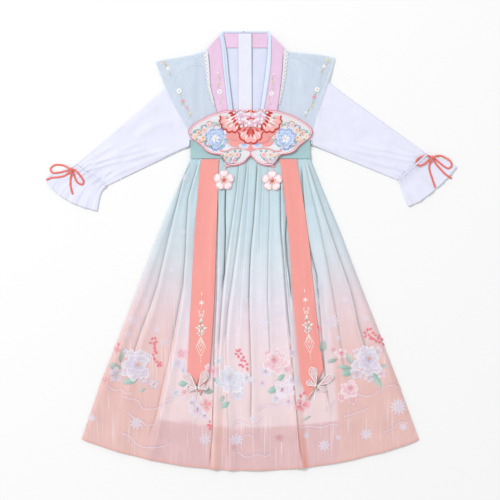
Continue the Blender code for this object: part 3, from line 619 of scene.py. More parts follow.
def cloth(name, base=None, rough=0.8, sheen=0.25, thread=0.0006, weave=0.25, slub=0.05,
          clear=1.0, satin=0.0, specular=0.3, mottle=0.03, shine=0.0, shine_from=None):
    """Woven cloth. Threads and slubs follow the UVs, which are in metres on the cloth.

    Slub is how far the threads' colour varies, and shine how far thick pale threads stand out.
    """
    material, shader, node, join = new_material(
        name, Roughness=rough, Sheen_Weight=sheen, Sheen_Roughness=0.5,
        Specular_IOR_Level=specular, Anisotropic=satin, Alpha=clear)
    place = node("UVMap", uv_map="cloth")
    if base is None:
        dye = node("Attribute", attribute_name="dye")
    else:
        dye = node("RGB")
        dye.outputs[0].default_value = (*colour(base), 1.0)

    def noise(scale, detail, roughness, stretch=None):
        made = node("TexNoise", Scale=scale, Detail=detail, Roughness=roughness)
        source = (place, "UV")
        if stretch:
            mapping = node("Mapping", Scale=stretch)
            join(*source, mapping, "Vector")
            source = (mapping, "Vector")
        join(*source, made, "Vector")
        return made

    def level(source, out, **limits):
        made = node("MapRange", **limits)
        join(source, out, made, "Value")
        return made

    def combine(operation, a, a_out, b, b_out):
        made = node("Math", operation=operation)
        join(a, a_out, made, 0)
        join(b, b_out, made, 1)
        return made

    streak = noise(1.0, 3.0, 0.6, STREAKS)
    broad = noise(26.0, 3.0, 0.55)
    streaks, patches = (
        level(source, "Fac", From_Min=0.3, From_Max=0.7, To_Min=1 - depth, To_Max=1 + depth)
        for source, depth in ((streak, slub), (broad, mottle)))
    both = combine("MULTIPLY", streaks, "Result", patches, "Result")
    tint = node("VectorMath", operation="SCALE")
    join(dye, "Color", tint, 0)
    join(both, 0, tint, "Scale")
    if shine:
        thick = noise(1.0, 1.0, 0.5, THICK_THREADS)
        picked = level(thick, "Fac", From_Min=0.62, From_Max=0.74, To_Max=shine)
        parts = node("SeparateXYZ")
        join(place, "UV", parts, 0)
        depth = level(parts, "Y", From_Min=shine_from[0], From_Max=shine_from[1])
        shown = combine("MULTIPLY", picked, "Result", depth, "Result")
        paler = node("Mix", data_type="RGBA")
        join(shown, 0, paler, 0)
        join(tint, 0, paler, 6)
        paler.inputs[7].default_value = (1.0, 0.97, 0.97, 1.0)
        join(paler, 2, shader, "Base Color")
    else:
        join(tint, 0, shader, "Base Color")

    warp, weft = (node("TexWave", wave_type="BANDS", bands_direction=way,
                       Scale=WAVE_SCALE / thread, Distortion=0.4) for way in "XY")
    for wave in (warp, weft):
        join(place, "UV", wave, "Vector")
    crossing = combine("MULTIPLY", warp, "Fac", weft, "Fac")
    relief = combine("ADD", crossing, 0, streak, "Fac")
    bump = node("Bump", Strength=weave, Distance=0.0002)
    join(relief, 0, bump, "Height")
    join(bump, "Normal", shader, "Normal")
    return material


def thread_material(name):
    """Embroidery silk, coloured by its mesh, with fine strands over it."""
    material, shader, node, join = new_material(name, Roughness=0.5, Sheen_Weight=0.4,
                                                Specular_IOR_Level=0.45)
    dye = node("Attribute", attribute_name="dye")
    place = node("TexCoord")
    strands = node("TexNoise", Scale=1600.0, Detail=2.0)
    level = node("MapRange", To_Min=0.88, To_Max=1.12)
    tint = node("VectorMath", operation="SCALE")
    bump = node("Bump", Strength=0.5, Distance=0.0003)
    join(place, "Object", strands, "Vector")
    join(strands, "Fac", level, "Value")
    join(dye, "Color", tint, 0)
    join(level, "Result", tint, "Scale")
    join(tint, 0, shader, "Base Color")
    join(strands, "Fac", bump, "Height")
    join(bump, "Normal", shader, "Normal")
    return material


# Embroidery and prints: small shapes on the board, gathered into one mesh


def to_side(degrees, sign):
    """An angle in radians, mirrored on the left."""
    return math.radians(degrees if sign > 0 else 180 - degrees)


class Needlework:
    """Petals, leaves and stitches that lie on the board, this far above it, in one mesh.

    A print's colours are mixed with the colour of the cloth below, painted fold shade and light
    included, by its strength.
    """

    def __init__(self, name, lift=0.0002, reach=0):
        self.name = name
        self.lift = lift
        self.ground = spread(reach) if reach else board.copy()
        self.points = []
        self.faces = []
        self.dyes = []
        self.count = 0
        self.ground_dye_and_shade = None
        self.strength = 1.0

    def add(self, x, y, rise, dye):
        """A small grid at these plan points, raised above the board."""
        rows, columns = x.shape
        if self.ground_dye_and_shade:
            under = self.ground_dye_and_shade(x, y)
            dye = under + (np.broadcast_to(dye, under.shape) - under) * self.strength
        z = read(self.ground, x, y) + self.lift + rise
        self.faces.append(quads(self.count + np.arange(rows * columns).reshape(rows, columns)))
        self.points.append(np.stack([x, y, z], -1).reshape(-1, 3))
        self.dyes.append(np.broadcast_to(dye, (rows, columns, 3)).reshape(-1, 3))
        self.count += rows * columns

    def leaf(self, x, y, angle, length, width, base, tip, dome=0.0006, bend=0.0, blunt=1.0,
             notch=0.0, rim=None, cells=(6, 6), half_tone=0.0):
        """A petal or leaf from its root, in this direction."""
        t, s = np.meshgrid(np.linspace(-1, 1, cells[0] + 1), np.linspace(0, 1, cells[1] + 1))
        half = width / 2 * np.sin(math.pi * np.clip(s, 0.02, 0.99) ** blunt) ** 0.75
        reach = length * (s - notch * s**6 * (1 - np.abs(t)) ** 2)
        off = t * half + bend * length * np.sin(math.pi * s / 2) ** 2
        px = x + reach * math.cos(angle) - off * math.sin(angle)
        py = y + reach * math.sin(angle) + off * math.cos(angle)
        low, high = np.array(colour(base)), np.array(colour(tip))
        share = np.clip(s * 1.15 - 0.08, 0, 1)[..., None]
        dye = low + (high - low) * share
        if rim:
            edge = np.clip(np.maximum(np.abs(t) * 4 - 3, s * 6 - 5), 0, 1)[..., None]
            dye = dye + (np.array(colour(rim)) - dye) * edge
        dye = dye * (1 - half_tone * (t > 0.05))[..., None]
        rise = dome * (1 - t**2) * np.sin(math.pi * np.clip(s, 0, 1)) ** 0.5
        self.add(px, py, rise, dye)

    def fan(self, x, y, angle, length, width, base, tip, rim, dome, waves, depth, edge,
            start=0.12, taper=0.22):
        """A ruffled petal: a fan from its root, with a border of its own along the wavy edge."""
        steps = np.concatenate([np.linspace(start, 1 - edge, 7), [1 - 0.96 * edge, 1.0]])
        t, s = np.meshgrid(np.linspace(-1, 1, 8 * waves + 1), steps)
        reach = length * (1 - taper * t**2) * (
            1 - depth + depth * np.abs(np.cos(math.pi * waves * (t + 1) / 2)))
        turn = angle + width * t * (0.55 + 0.45 * s)
        px = x + reach * s * np.cos(turn)
        py = y + reach * s * np.sin(turn)
        low, high = np.array(colour(base)), np.array(colour(tip))
        dye = low + (high - low) * np.clip(s / (1 - edge), 0, 1)[..., None] ** 1.5
        # Painted shade on the ruffles: each lobe of the edge lighter, the notches between darker;
        # on the prints it is part of the printed flower.
        ruffle_shade = 0.05 * np.cos(math.tau * waves * (t + 1) / 2) * s
        dye = dye * (1 + ruffle_shade[..., None])
        border = (s > 1 - 0.98 * edge)[..., None]
        dye = np.where(border, np.array(colour(rim)), dye)
        rise = dome * (np.sin(math.pi * np.clip(s * 0.9, 0, 1)) * (1 - 0.5 * t**2)
                       + 0.5 * (s > 1 - edge) * (s < 1))
        self.add(px[:, ::-1], py[:, ::-1], rise[:, ::-1], dye[:, ::-1])

    def stitch(self, points, width, code, rise=0.0004, taper=False, smooth=True):
        """A cord of thread along a line: half round, or tapering to its end."""
        line = smooth_line(points, 5) if smooth and len(points) > 2 else np.asarray(points, float)
        if not smooth:
            steps = max(2, int(np.hypot(*np.diff(line, axis=0).T).sum() / 0.004))
            line = np.stack(along(line, np.linspace(0, 1, steps + 1)), -1)
        t = np.linspace(-1, 1, 5)[None, :]
        s = np.linspace(0, 1, len(line))[:, None]
        half = width / 2 * (1 - 0.85 * s if taper else np.ones_like(s))
        high = rise * np.sqrt(np.clip(1 - t**2, 0, 1)) * np.ones_like(s)
        self.add(*strip(line, t * half), high, colour(code))

    def disc(self, x, y, radius, code, dome=0.0008, edge=None, sides=10):
        a, r = np.meshgrid(np.linspace(0, math.tau, sides + 1), [0.02, 0.45, 0.8, 1.0])
        low = np.array(colour(code))
        high = np.array(colour(edge or code))
        dye = low + (high - low) * r[..., None] ** 2
        self.add(x + radius * r * np.cos(a), y + radius * r * np.sin(a),
                 dome * np.sqrt(np.clip(1 - r**2, 0, 1)), dye)

    def flower(self, x, y, radius, petals, base, tip, heart, dome=0.0006, turn=0.0, width=1.05,
               notch=0.12, blunt=1.5, heart_size=0.26):
        step = math.tau / petals
        for k in range(petals):
            angle = turn + k * step
            self.leaf(x + 0.1 * radius * math.cos(angle), y + 0.1 * radius * math.sin(angle),
                      angle, 0.9 * radius, width * radius * 2 * math.sin(step / 2), base, tip,
                      dome, 0, blunt, notch)
        self.lift += 0.0001
        self.disc(x, y, heart_size * radius, heart, dome)
        self.lift -= 0.0001

    def make(self, material, slot):
        mesh = bpy.data.meshes.new(self.name)
        points = np.concatenate(self.points)
        mesh.from_pydata(points, [], np.concatenate(self.faces))
        add_dye(mesh, np.concatenate(self.dyes))
        add_uvs(mesh, points[:, :2])
        work = bmesh.new()
        work.from_mesh(mesh)
        for face in work.faces:
            if face.normal.z < 0:
                face.normal_flip()
        work.to_mesh(mesh)
        work.free()
        mesh.shade_smooth()
        return finish(put(self.name, mesh), material, slot)


# Skirt

SKIRT_CELLS = (440, 104)
LINING_CELLS = (90, 60)
WAIST_GATHERS = 21
DYE_MIDDLE = [
    # share down, colour along the skirt's middle, where the lining lies under it
    (0.00, "#C9E4EA"), (0.13, "#D0E7F1"), (0.24, "#D9EBF5"), (0.34, "#E4EEF7"),
    (0.44, "#EEEBF7"), (0.53, "#F6E8F2"), (0.62, "#FBE6EC"), (0.78, "#F9E2E6"),
    (0.90, "#F7DDDF"), (1.00, "#F5DADC"),
]
DYE_SIDES = [
    # and outside the lining's folds
    (0.00, "#C9E4EE"), (0.18, "#D4E6F0"), (0.30, "#DDE6EE"), (0.40, "#E9E0E8"),
    (0.50, "#F1D9DE"), (0.62, "#F4CFCE"), (0.78, "#F1C6C1"), (1.00, "#EFC5C1"),
]
LINED_RIGHT = [(0.2105, 0.1500), (0.1000, 0.1660), (-0.4000, 0.2050)]   # y, x
LINED_EDGE = 0.010
BEYOND_LINING = (0.900, 0.775, 0.780)   # share of the colour left below the lining's hem
SEAM_BAND = 0.004
LIT_FLAPS = [
    # from fold, width, colour,    weight, py that it starts and is full at
    ("C", 0.034, "#FBC2AC", 0.40, 385, 430),
    ("G", 0.016, "#F39C84", 0.75, 405, 440),
]
FOLD_SHADES = [
    # fold, colour in its shade, weight, how far the shade reaches, py from and to
    ("C", "#E07E6C", 0.80, 0.004, 395, 470),
    ("C", "#A98880", 0.60, 0.006, 200, 400),
    ("G", "#C4705F", 0.70, 0.005, 340, 462),
    ("G", "#7F959E", 0.72, 0.007, 180, 345),
    ("H", "#7F8A90", 0.75, 0.008, 166, 305),
    ("H", "#B8928F", 0.62, 0.009, 300, 405),
    ("E", "#85999F", 0.72, 0.008, 161, 310),
    ("E", "#C0988F", 0.50, 0.012, 300, 425),
    ("pendant", "#6F858C", 0.95, 0.007, 176, 292),
    ("ribbon", "#75868E", 0.90, 0.006, 205, 302),
    ("beside C", "#94A1A6", 0.50, 0.008, 161, 350),
    ("D", "#93A0A6", 0.52, 0.009, 161, 345),
    ("D", "#C7A5A2", 0.30, 0.008, 340, 460),
    ("B", "#9FA6AC", 0.55, 0.010, 161, 345),
    ("B", "#D59F92", 0.30, 0.008, 340, 440),
    ("A", "#A6AAB0", 0.50, 0.012, 161, 380),
    ("F", "#98A8B0", 0.40, 0.008, 166, 360),
    ("after E", "#A3B0B8", 0.22, 0.006, 175, 260),
    ("before E", "#A9B2BC", 0.16, 0.008, 161, 330),
    ("after H", "#A4A8AE", 0.38, 0.009, 161, 385),
    ("I", "#A7A3A8", 0.50, 0.011, 161, 375),
]
HEM_LINE = ("#F2A590", 0.50, 0.0040)    # colour, weight and depth of the rolled hem


def dyed(table, v):
    at = [row[0] for row in table]
    tones = np.array([colour(row[1]) for row in table])
    return np.stack([np.interp(v, at, tones[:, i]) for i in range(3)], -1)


def skirt_dye_and_fold_shade(x, y, lined=True):
    """The skirt's dip-dyed colour: blue-green at the waist, peach at the hem, sooner at the sides.

    Where the pale lining lies behind the sheer cloth it is lighter, down to the lining's hem.
    When lined, it also paints shade and light: painted shade beside each fold, a painted dark
    line in its groove, painted light on the flap beyond it and on the lit flaps, then the
    rolled hem's colour.
    """
    v = (WAIST - y) / (WAIST - hem_y(x))
    left = fold_x("B", y)
    right = np.interp(-y, [-row[0] for row in LINED_RIGHT], [row[1] for row in LINED_RIGHT])
    inside = np.clip(np.minimum(x - left, right - x) / LINED_EDGE, 0, 1)
    across = (x - side(1, y)) / (side(2, y) - side(1, y))
    towards_side = np.clip(np.abs(2 * across - 1), 0, 1) ** 2
    share = (1 - inside * (1 - 0.35 * towards_side))[..., None]
    tone = dyed(DYE_MIDDLE, v) * (1 - share) + dyed(DYE_SIDES, v) * share
    ripple = 0.0022 * np.sin(31 * x) + 0.0012 * np.sin(83 * x + 1)
    below = np.clip((hem_y(x, LINING_HEM) + ripple - y) / SEAM_BAND, 0, 1) * inside
    if not lined:
        below = np.zeros_like(below)
    tone = tone * (1 - below[..., None] * (1 - np.array(BEYOND_LINING)))
    if not lined:
        return tone

    def mix(tone, code, weight):
        return tone + (np.array(colour(code)) - tone) * weight[..., None]

    for fold, width, code, weight, start, full in LIT_FLAPS:
        off = x - fold_x(fold, y)
        deep = np.clip((spot(0, start)[1] - y) / ((full - start) * PIXEL), 0, 1)
        tone = mix(tone, code, weight * deep * np.clip(off / 0.002, 0, 1)
                   * np.clip((width - off) / (0.5 * width), 0, 1))
    # Painted shade on the side of each fold away from its flap
    for fold, code, weight, reach, start, end in FOLD_SHADES:
        off = (x - fold_x(fold, y)) * FOLDS[fold][0][3]
        ends = np.clip((spot(0, start)[1] - y) / 0.014, 0, 1)
        ends = ends * np.clip((y - spot(0, end)[1]) / 0.03, 0, 1)
        share = np.clip(np.where(off > 0, 1 - off / 0.0018, 1 + off / reach), 0, 1)
        tone = mix(tone, code, weight * ends * share**1.6)
        # Painted shadow: a dark line down each fold's groove
        groove_shadow = np.clip(1.5 - np.abs(off + 0.0004) / 0.0013, 0, 1)
        tone = tone * (1 - 0.44 * weight * ends * groove_shadow)[..., None]
        # Painted highlight: the flap beyond each fold lightened towards white
        lit = np.clip(off / 0.002, 0, 1) * np.clip((0.013 - off) / 0.009, 0, 1)
        tone = mix(tone, "#FFFFFF", 0.26 * weight * ends * lit)
    code, weight, depth = HEM_LINE
    return mix(tone, code, weight * np.clip(1 - (y - hem_y(x)) / depth, 0, 1))


def fold_x(name, y):
    """Where a fold of the skirt runs at this height."""
    line = np.array([spot(*p) for p in FOLDS[name][1]])[::-1]
    return np.interp(y, line[:, 1], line[:, 0])


def pleats(x, y, v):
    """Heights of the folds: the cloth swells up beside each and dips into its groove."""
    total = np.zeros_like(x)
    grooves = np.zeros_like(x)
    for name, ((groove, rise, width, towards), points) in FOLDS.items():
        top, bottom = spot(*points[0])[1], spot(*points[-1])[1]
        to_hem = bottom < -0.48
        fade = np.clip((top - y) / 0.030 + 0.4, 0, 1)
        if not to_hem:
            fade = fade * np.clip((y - bottom) / 0.060, 0, 1)
        fade = fade**2 * (3 - 2 * fade)
        off = (x - fold_x(name, y)) * towards
        half = GROOVE_WIDTH[0] + (GROOVE_WIDTH[1] - GROOVE_WIDTH[0]) * v
        dip = 0.5 * (1 + np.cos(math.pi * np.clip(off / half, -1, 1)))
        grooves = np.maximum(grooves, groove * dip * fade)
        wide = width * (0.55 + 0.75 * v)
        bell = np.where(off > 0, 0.5 * (1 + np.cos(math.pi * np.clip(off / wide, 0, 1))),
                        0.5 * (1 + np.cos(math.pi * np.clip(off / (1.6 * half), -1, 0))))
        total = np.maximum(total, rise * (1.3 + 1.1 * v) * bell * fade)
    return total - 1.15 * grooves


def make_skirt():
    corner = SIDES[-1][0]
    chiffon = cloth("skirt_chiffon", rough=0.72, sheen=0.35, weave=0.22, slub=0.035, clear=0.92,
                    shine=0.70, shine_from=(0.18, 0.46))
    lining = cloth("lining_satin", "#FBF1EC", rough=0.6, sheen=0.2, slub=0.02, weave=0.15)

    def panel(name, middle, low_inset, z, material, slot, dye=False):
        """A flat panel at this height."""
        u, v = grid_shares(*LINING_CELLS)
        y = WAIST + (corner + middle - HEM - WAIST) * v
        x = side(1, y) + low_inset(y) + u * (side(2, y) - side(1, y) - 2 * low_inset(y))
        y = WAIST + (hem_y(x, middle) - WAIST) * v
        z = np.full_like(x, z)
        paint = skirt_dye_and_fold_shade(x, y, False) * 0.97 if dye else None
        piece = shell(name + "_cloth", x, y, z, WALL, paint)
        press(x, y, z)
        return finish(piece, material, slot, name)

    back = panel("skirt_back", HEM, lambda y: 0.0, 0.0010, chiffon, "skirt_chiffon", True)
    lining_back = panel("lining_back", LINING_HEM, inset, 0.0024, lining, "lining")
    lining_front = panel("lining_front", LINING_HEM, inset, 0.0037, lining, "lining")

    u, v = grid_shares(*SKIRT_CELLS)
    y = WAIST + (corner - WAIST) * v
    x = side(1, y) + u * (side(2, y) - side(1, y))
    edge = np.clip(np.minimum(x - side(1, y), side(2, y) - x) / (EDGE_SHARE * inset(y)), 0, 1)
    base = np.where(v <= 0.875, ON_LINING, ON_LINING - (ON_LINING - ON_TABLE)
                    * np.clip((v - 0.875) / 0.05, 0, 1))
    rise = pleats(x, y, v)
    gathers = 0.0005 * np.sin(math.tau * WAIST_GATHERS * u + 4 * np.sin(7 * u)) * np.exp(-v / 0.05)
    drift = 0.0009 * np.sin(38 * u + 2.5 * v + 2 * np.sin(9 * u)) * (0.5 + 0.5 * v)
    drift = drift + 0.0005 * np.sin(71 * u - 3 * v + 3 * np.sin(5 * u + v))
    swell = SWELL * np.clip(v / 0.06 + 0.25, 0, 1)
    z = ON_TABLE + (base - ON_TABLE) * edge + (rise + gathers + drift + swell) * edge + 0.0013
    y = WAIST + (hem_y(x) - WAIST) * v
    low = read(spread(1), x, y) + GAP + WALL
    z = np.maximum(z, low)
    front = shell("skirt_front_cloth", x, y, z, WALL, skirt_dye_and_fold_shade(x, y))
    press(x, y, z)
    finish(front, chiffon, "skirt_chiffon", "skirt_front")


# Pieces that are laid on the board


def lay(node, x, y, material, slot, kind="cloth", wall=WALL, reach=2, rounds=10, rise=0.0,
        around=False, follow=True):
    """A piece at the height of its solid, or higher where something under it stands up.

    It rests on what has been laid under it, or on the floor.
    """
    low = read(spread(reach), x, y)
    low = np.where(low > 0, low + GAP, 0.0001) + wall
    z = np.maximum(low, solid_top(node, x, y)) if follow else low.copy()
    z = settle(z, low, rounds, around) + rise
    if around:
        z[:, -1] = z[:, 0]
    piece = shell(node + "_" + kind, x, y, z, wall, around=around)
    press(x, y, z)
    finish(piece, material, slot, node)
    return piece


def make_back():
    neck = TOP - BINDING - GAP
    middle = (NECK_LEFT + NECK_RIGHT) / 2
    top = ([*VEST_LEFT_TOP, (NECK_LEFT, neck), (middle, neck), (NECK_RIGHT, neck)]
           + VEST_RIGHT_TOP[::-1])
    x, y = patch(VEST_LEFT_SIDE, VEST_RIGHT_SIDE, (90, 50), top=top)
    lay("vest_back", x, y, organza, "vest_organza", follow=False)
    top = [ARMHOLES["left"][0], SHOULDERS["left"], (NECK_LEFT, neck), (NECK_RIGHT, neck),
           SHOULDERS["right"], ARMHOLES["right"][0]]
    x, y = patch(*ARMHOLES.values(), (80, 50), top=top)
    inside = cloth("blouse_inside", "#E0E5FA", rough=0.85, sheen=0.3, slub=0.015, weave=0.3)
    lay("blouse_back", x, y, inside, "blouse_chiffon", rise=ridges(x, y, BACK_FOLDS))
    make_waistband("waistband_back", (60, 8), False)


BACK_FOLDS = [
    # x0      y0      x1      y1      height  width
    (0.0080, 0.4560, 0.0090, 0.2700, 0.0008, 0.0030),
    (0.0190, 0.4500, 0.0150, 0.2700, 0.0006, 0.0025),
    (-0.0380, 0.4550, -0.0370, 0.2700, 0.0006, 0.0028),
]

# Creases of the sleeves and cuffs: long soft ones towards the wrist, short ones at the gathers
SLEEVE_FOLDS = {
    "left": [
        (-0.150, 0.236, -0.330, 0.170, 0.0020, 0.0050),
        (-0.172, 0.236, -0.300, 0.203, 0.0016, 0.0046),
        (-0.290, 0.208, -0.392, 0.178, 0.0016, 0.0040),
        (-0.240, 0.232, -0.320, 0.212, 0.0014, 0.0050),
        (-0.310, 0.214, -0.398, 0.190, 0.0012, 0.0036),
        (-0.190, 0.222, -0.360, 0.160, -0.0010, 0.0040),
        (-0.250, 0.250, -0.370, 0.190, 0.0012, 0.0060),
        (-0.175, 0.400, -0.160, 0.270, 0.0010, 0.0080),
        (-0.200, 0.345, -0.290, 0.275, 0.0009, 0.0090),
        (-0.190, 0.300, -0.270, 0.255, 0.0010, 0.0080),
        (-0.310, 0.245, -0.395, 0.192, 0.0010, 0.0050),
        (-0.320, 0.185, -0.345, 0.158, 0.0012, 0.0036),
    ],
    "right": [
        (0.150, 0.246, 0.335, 0.186, 0.0020, 0.0050),
        (0.172, 0.245, 0.300, 0.217, 0.0016, 0.0046),
        (0.290, 0.222, 0.392, 0.201, 0.0016, 0.0040),
        (0.240, 0.245, 0.320, 0.228, 0.0014, 0.0050),
        (0.310, 0.230, 0.398, 0.214, 0.0012, 0.0036),
        (0.190, 0.232, 0.360, 0.174, -0.0010, 0.0040),
        (0.250, 0.264, 0.370, 0.208, 0.0012, 0.0060),
        (0.158, 0.405, 0.152, 0.280, 0.0010, 0.0080),
        (0.190, 0.355, 0.285, 0.290, 0.0009, 0.0090),
        (0.185, 0.312, 0.270, 0.268, 0.0010, 0.0080),
        (0.310, 0.262, 0.395, 0.216, 0.0010, 0.0050),
        (0.325, 0.200, 0.352, 0.176, 0.0012, 0.0036),
    ],
}


def wrist_gathers(u):
    """Heights of the gathers across the wrist, which run into the sleeve and into the cuff."""
    return (0.0008 * np.sin(math.tau * 8 * u + 4 * np.sin(5 * u))
            + 0.0004 * np.sin(math.tau * 15 * u))


def tube(node, x, y, rise):
    """A flat sleeve or cuff: two layers that turn into each other at both edges."""
    low = read(spread(3), x, y)
    low = np.where(low > 0, low + GAP, 0.0)
    low = settle(low, low, 30)
    upper = settle(solid_top(node, x, y), low + 0.0030, 6)
    u = np.linspace(0, 1, x.shape[1])[None, :]
    width = np.hypot(x[:, -1] - x[:, 0], y[:, -1] - y[:, 0])[:, None]
    near = np.clip(np.minimum(u, 1 - u) * width / TURN, 0, 1)
    round_edge = np.sqrt(1 - (1 - near) ** 2)
    middle = low + 0.0018
    upper = middle + (upper - middle + rise) * round_edge
    under = middle - (middle - low - 0.0002) * round_edge
    ring = np.stack([np.concatenate([over, below[:, -2:0:-1]], axis=1)
                     for over, below in ((x, x), (y, y), (upper, under))], -1)
    index = np.arange(ring[..., 0].size).reshape(ring.shape[:2])
    following = np.roll(index, -1, axis=1)
    faces = np.stack([index[:-1], index[1:], following[1:], following[:-1]], -1).reshape(-1, 4)
    name = node + "_cloth"
    mesh = bpy.data.meshes.new(name)
    co = ring.reshape(-1, 3)
    mesh.from_pydata(co, [], faces)
    add_uvs(mesh, co[:, :2])
    work = bmesh.new()
    work.from_mesh(mesh)
    bmesh.ops.recalc_face_normals(work, faces=work.faces)
    if sum(f.normal.z for f in work.faces if f.calc_center_median().z > 0.003) < 0:
        bmesh.ops.reverse_faces(work, faces=work.faces)
    work.to_mesh(mesh)
    work.free()
    mesh.shade_smooth()
    thing = put(name, mesh)
    wall = thing.modifiers.new("wall", "SOLIDIFY")
    wall.thickness = 0.0004
    wall.offset = -1
    bpy.context.view_layer.update()
    thing.data = bpy.data.meshes.new_from_object(
        thing.evaluated_get(bpy.context.evaluated_depsgraph_get()))
    thing.modifiers.clear()
    press(x, y, upper)
    finish(thing, blouse, "blouse_chiffon", node)


def make_sleeves():
    for hand in HANDS:
        cells = (52, 84)
        x, y = patch(*map(smooth_line, SLEEVES[hand]), cells)
        u, v = grid_shares(*cells)
        folds = 1.5 * ridges(x, y, SLEEVE_FOLDS[hand]) * np.clip((1 - v) / 0.06, 0, 1)
        folds = folds + wrist_gathers(u) * np.exp((v - 1) / 0.09)
        tube("sleeve_" + hand, x, y, folds)
        cells = (80, 30)
        top, low, end = map(smooth_line, CUFFS[hand])
        x, y = patch(top, low, cells, bottom=end)
        u, v = grid_shares(*cells)
        waves = wrist_gathers(u) * np.exp(-v / 0.45)
        waves = waves + 0.0010 * np.sin(math.tau * 5.2 * u + 1.7 + np.sin(6 * u)) * v
        waves = waves + 0.0004 * np.sin(math.tau * 12 * u + 2 * np.sin(7 * u)) * v
        tube("cuff_" + hand, x, y, waves)


VEST_FOLDS = {
    "left": [
        (-0.150, 0.440, -0.120, 0.300, 0.0007, 0.0090),
        (-0.185, 0.425, -0.150, 0.330, 0.0009, 0.0070),
        (-0.112, 0.430, -0.105, 0.270, 0.0006, 0.0050),
    ],
    "right": [
        (0.130, 0.440, 0.108, 0.300, 0.0007, 0.0090),
        (0.165, 0.430, 0.138, 0.330, 0.0009, 0.0070),
        (0.092, 0.430, 0.088, 0.270, 0.0006, 0.0050),
    ],
}


def edges(hand, inner, outer):
    """The two edges of a front piece from the left to the right."""
    return (outer, inner) if hand == "left" else (inner, outer)


def make_fronts():
    for hand, end in (("left", -0.0440), ("right", 0.0180)):
        inner = [SHOULDERS[hand], *BANDS[hand][1][1:-1], (end, WAIST_TOP)]
        x, y = patch(*edges(hand, inner, ARMHOLES[hand]), (40, 44))
        lay("blouse_front_" + hand, x, y, blouse, "blouse_chiffon")
    for hand, top, side_edge, end in (("left", VEST_LEFT_TOP, VEST_LEFT_SIDE, -0.0540),
                                      ("right", VEST_RIGHT_TOP, VEST_RIGHT_SIDE, 0.0340)):
        middle = np.mean(BANDS[hand][:2], axis=0)
        inner = [top[-1], *middle[1:-1], (end, WAIST_TOP)]
        x, y = patch(*edges(hand, inner, smooth_line(side_edge)), (72, 90),
                     top=smooth_line(top if hand == "left" else top[::-1]))
        lay("vest_front_" + hand, x, y, organza, "vest_organza", rounds=30,
            rise=ridges(x, y, VEST_FOLDS[hand]))


def make_collar():
    brocade = cloth("collar_brocade", "#ECCAE7", rough=0.55, sheen=0.3, slub=0.03, thread=0.0012,
                    weave=0.5, mottle=0.06)
    binding = cloth("collar_binding", "#DDE9FE", rough=0.6, slub=0.02)
    white = cloth("guard_cloth", "#ECEDFA", rough=0.8, slub=0.015)
    low, high = TOP - COLLAR_DEPTH, TOP - BINDING - GAP
    x, y = patch([(NECK_LEFT, high), (NECK_LEFT, low)], [(NECK_RIGHT, high), (NECK_RIGHT, low)],
                 (50, 18))
    lay("collar_back", x, y, brocade, "collar_brocade")
    u, v = grid_shares(60, 8)
    x = NECK_LEFT + (NECK_RIGHT - NECK_LEFT) * u
    y = TOP - BINDING * v
    z = 0.0020 + 0.0019 * np.sqrt(np.clip(1 - (2 * v - 1) ** 2, 0, 1))
    piece = shell("collar_edging_back_cloth", x, y, z, 0.0038)
    press(x, y, z)
    finish(piece, binding, "collar_edging", "collar_edging_back")
    left, right = ([(x, TOP - BINDING - 2 * GAP), (x + flare, GUARD_END)]
                   for x, flare in zip(GUARD, (0, 0.002)))
    x, y = patch(left, right, (24, 100))
    lay("zip_guard", x, y, white, "zip_guard", reach=3)
    for hand in HANDS:
        away = -GAP if hand == "left" else GAP
        outer, inner, edge = map(smooth_line, BANDS[hand])
        x, y = patch(*edges(hand, inner + [away, 0], outer), (20, 130))
        lay("collar_" + hand, x, y, brocade, "collar_brocade", wall=0.0008, reach=4, rounds=12)
        x, y = patch(*edges(hand, edge, inner), (12, 150))
        lay("collar_edging_" + hand, x, y, binding, "collar_edging", wall=0.0008, reach=4,
            rounds=12)


def lace_place(hand, v):
    """The lace's inner edge at this share of its run, and its width there."""
    px, py = along(BANDS[hand][0], LACE_RUN[0] + (LACE_RUN[1] - LACE_RUN[0]) * v)
    return px, py, LACE_WIDTH[0] + (LACE_WIDTH[1] - LACE_WIDTH[0]) * v


def make_lace():
    white = cloth("lace_cloth", "#F8F9FD", rough=0.7, slub=0.02, weave=0.6, thread=0.0016,
                  clear=0.9)
    for hand, sign in HANDS.items():
        u, v = grid_shares(8, 168)
        px, py, width = lace_place(hand, v)
        scallop = np.abs(np.cos(math.pi * LACE_SCALLOPS * v))
        width = width - LACE_SCALLOP * scallop * u * (1 - v / 2)
        x, y = px + sign * (2 * GAP + width * u), py - 0.004 * u
        if hand == "left":
            x, y = x[:, ::-1], y[:, ::-1]
        lay("lace_" + hand, x, y, white, "lace")


def make_waistband(node, cells, follow):
    left, right = BAND_ENDS
    x, y = patch([(left, WAIST_TOP - GAP), (left, WAIST + GAP)],
                 [(right, WAIST_TOP - GAP), (right, WAIST + GAP)], cells)
    lay(node, x, y, band, "waistband", follow=follow)


RIBBON_FOLDS = {
    "left": [
        (-0.118, 0.170, -0.128, -0.020, 0.0007, 0.0050),
        (-0.085, 0.100, -0.092, -0.120, 0.0006, 0.0045),
        (-0.120, -0.120, -0.104, -0.270, 0.0007, 0.0060),
    ],
    "right": [
        (0.080, 0.190, 0.096, 0.060, 0.0007, 0.0045),
        (0.118, 0.090, 0.128, -0.090, 0.0007, 0.0050),
        (0.136, -0.100, 0.151, -0.250, 0.0010, 0.0035),
        (0.144, -0.060, 0.146, -0.140, 0.0011, 0.0025),
    ],
}


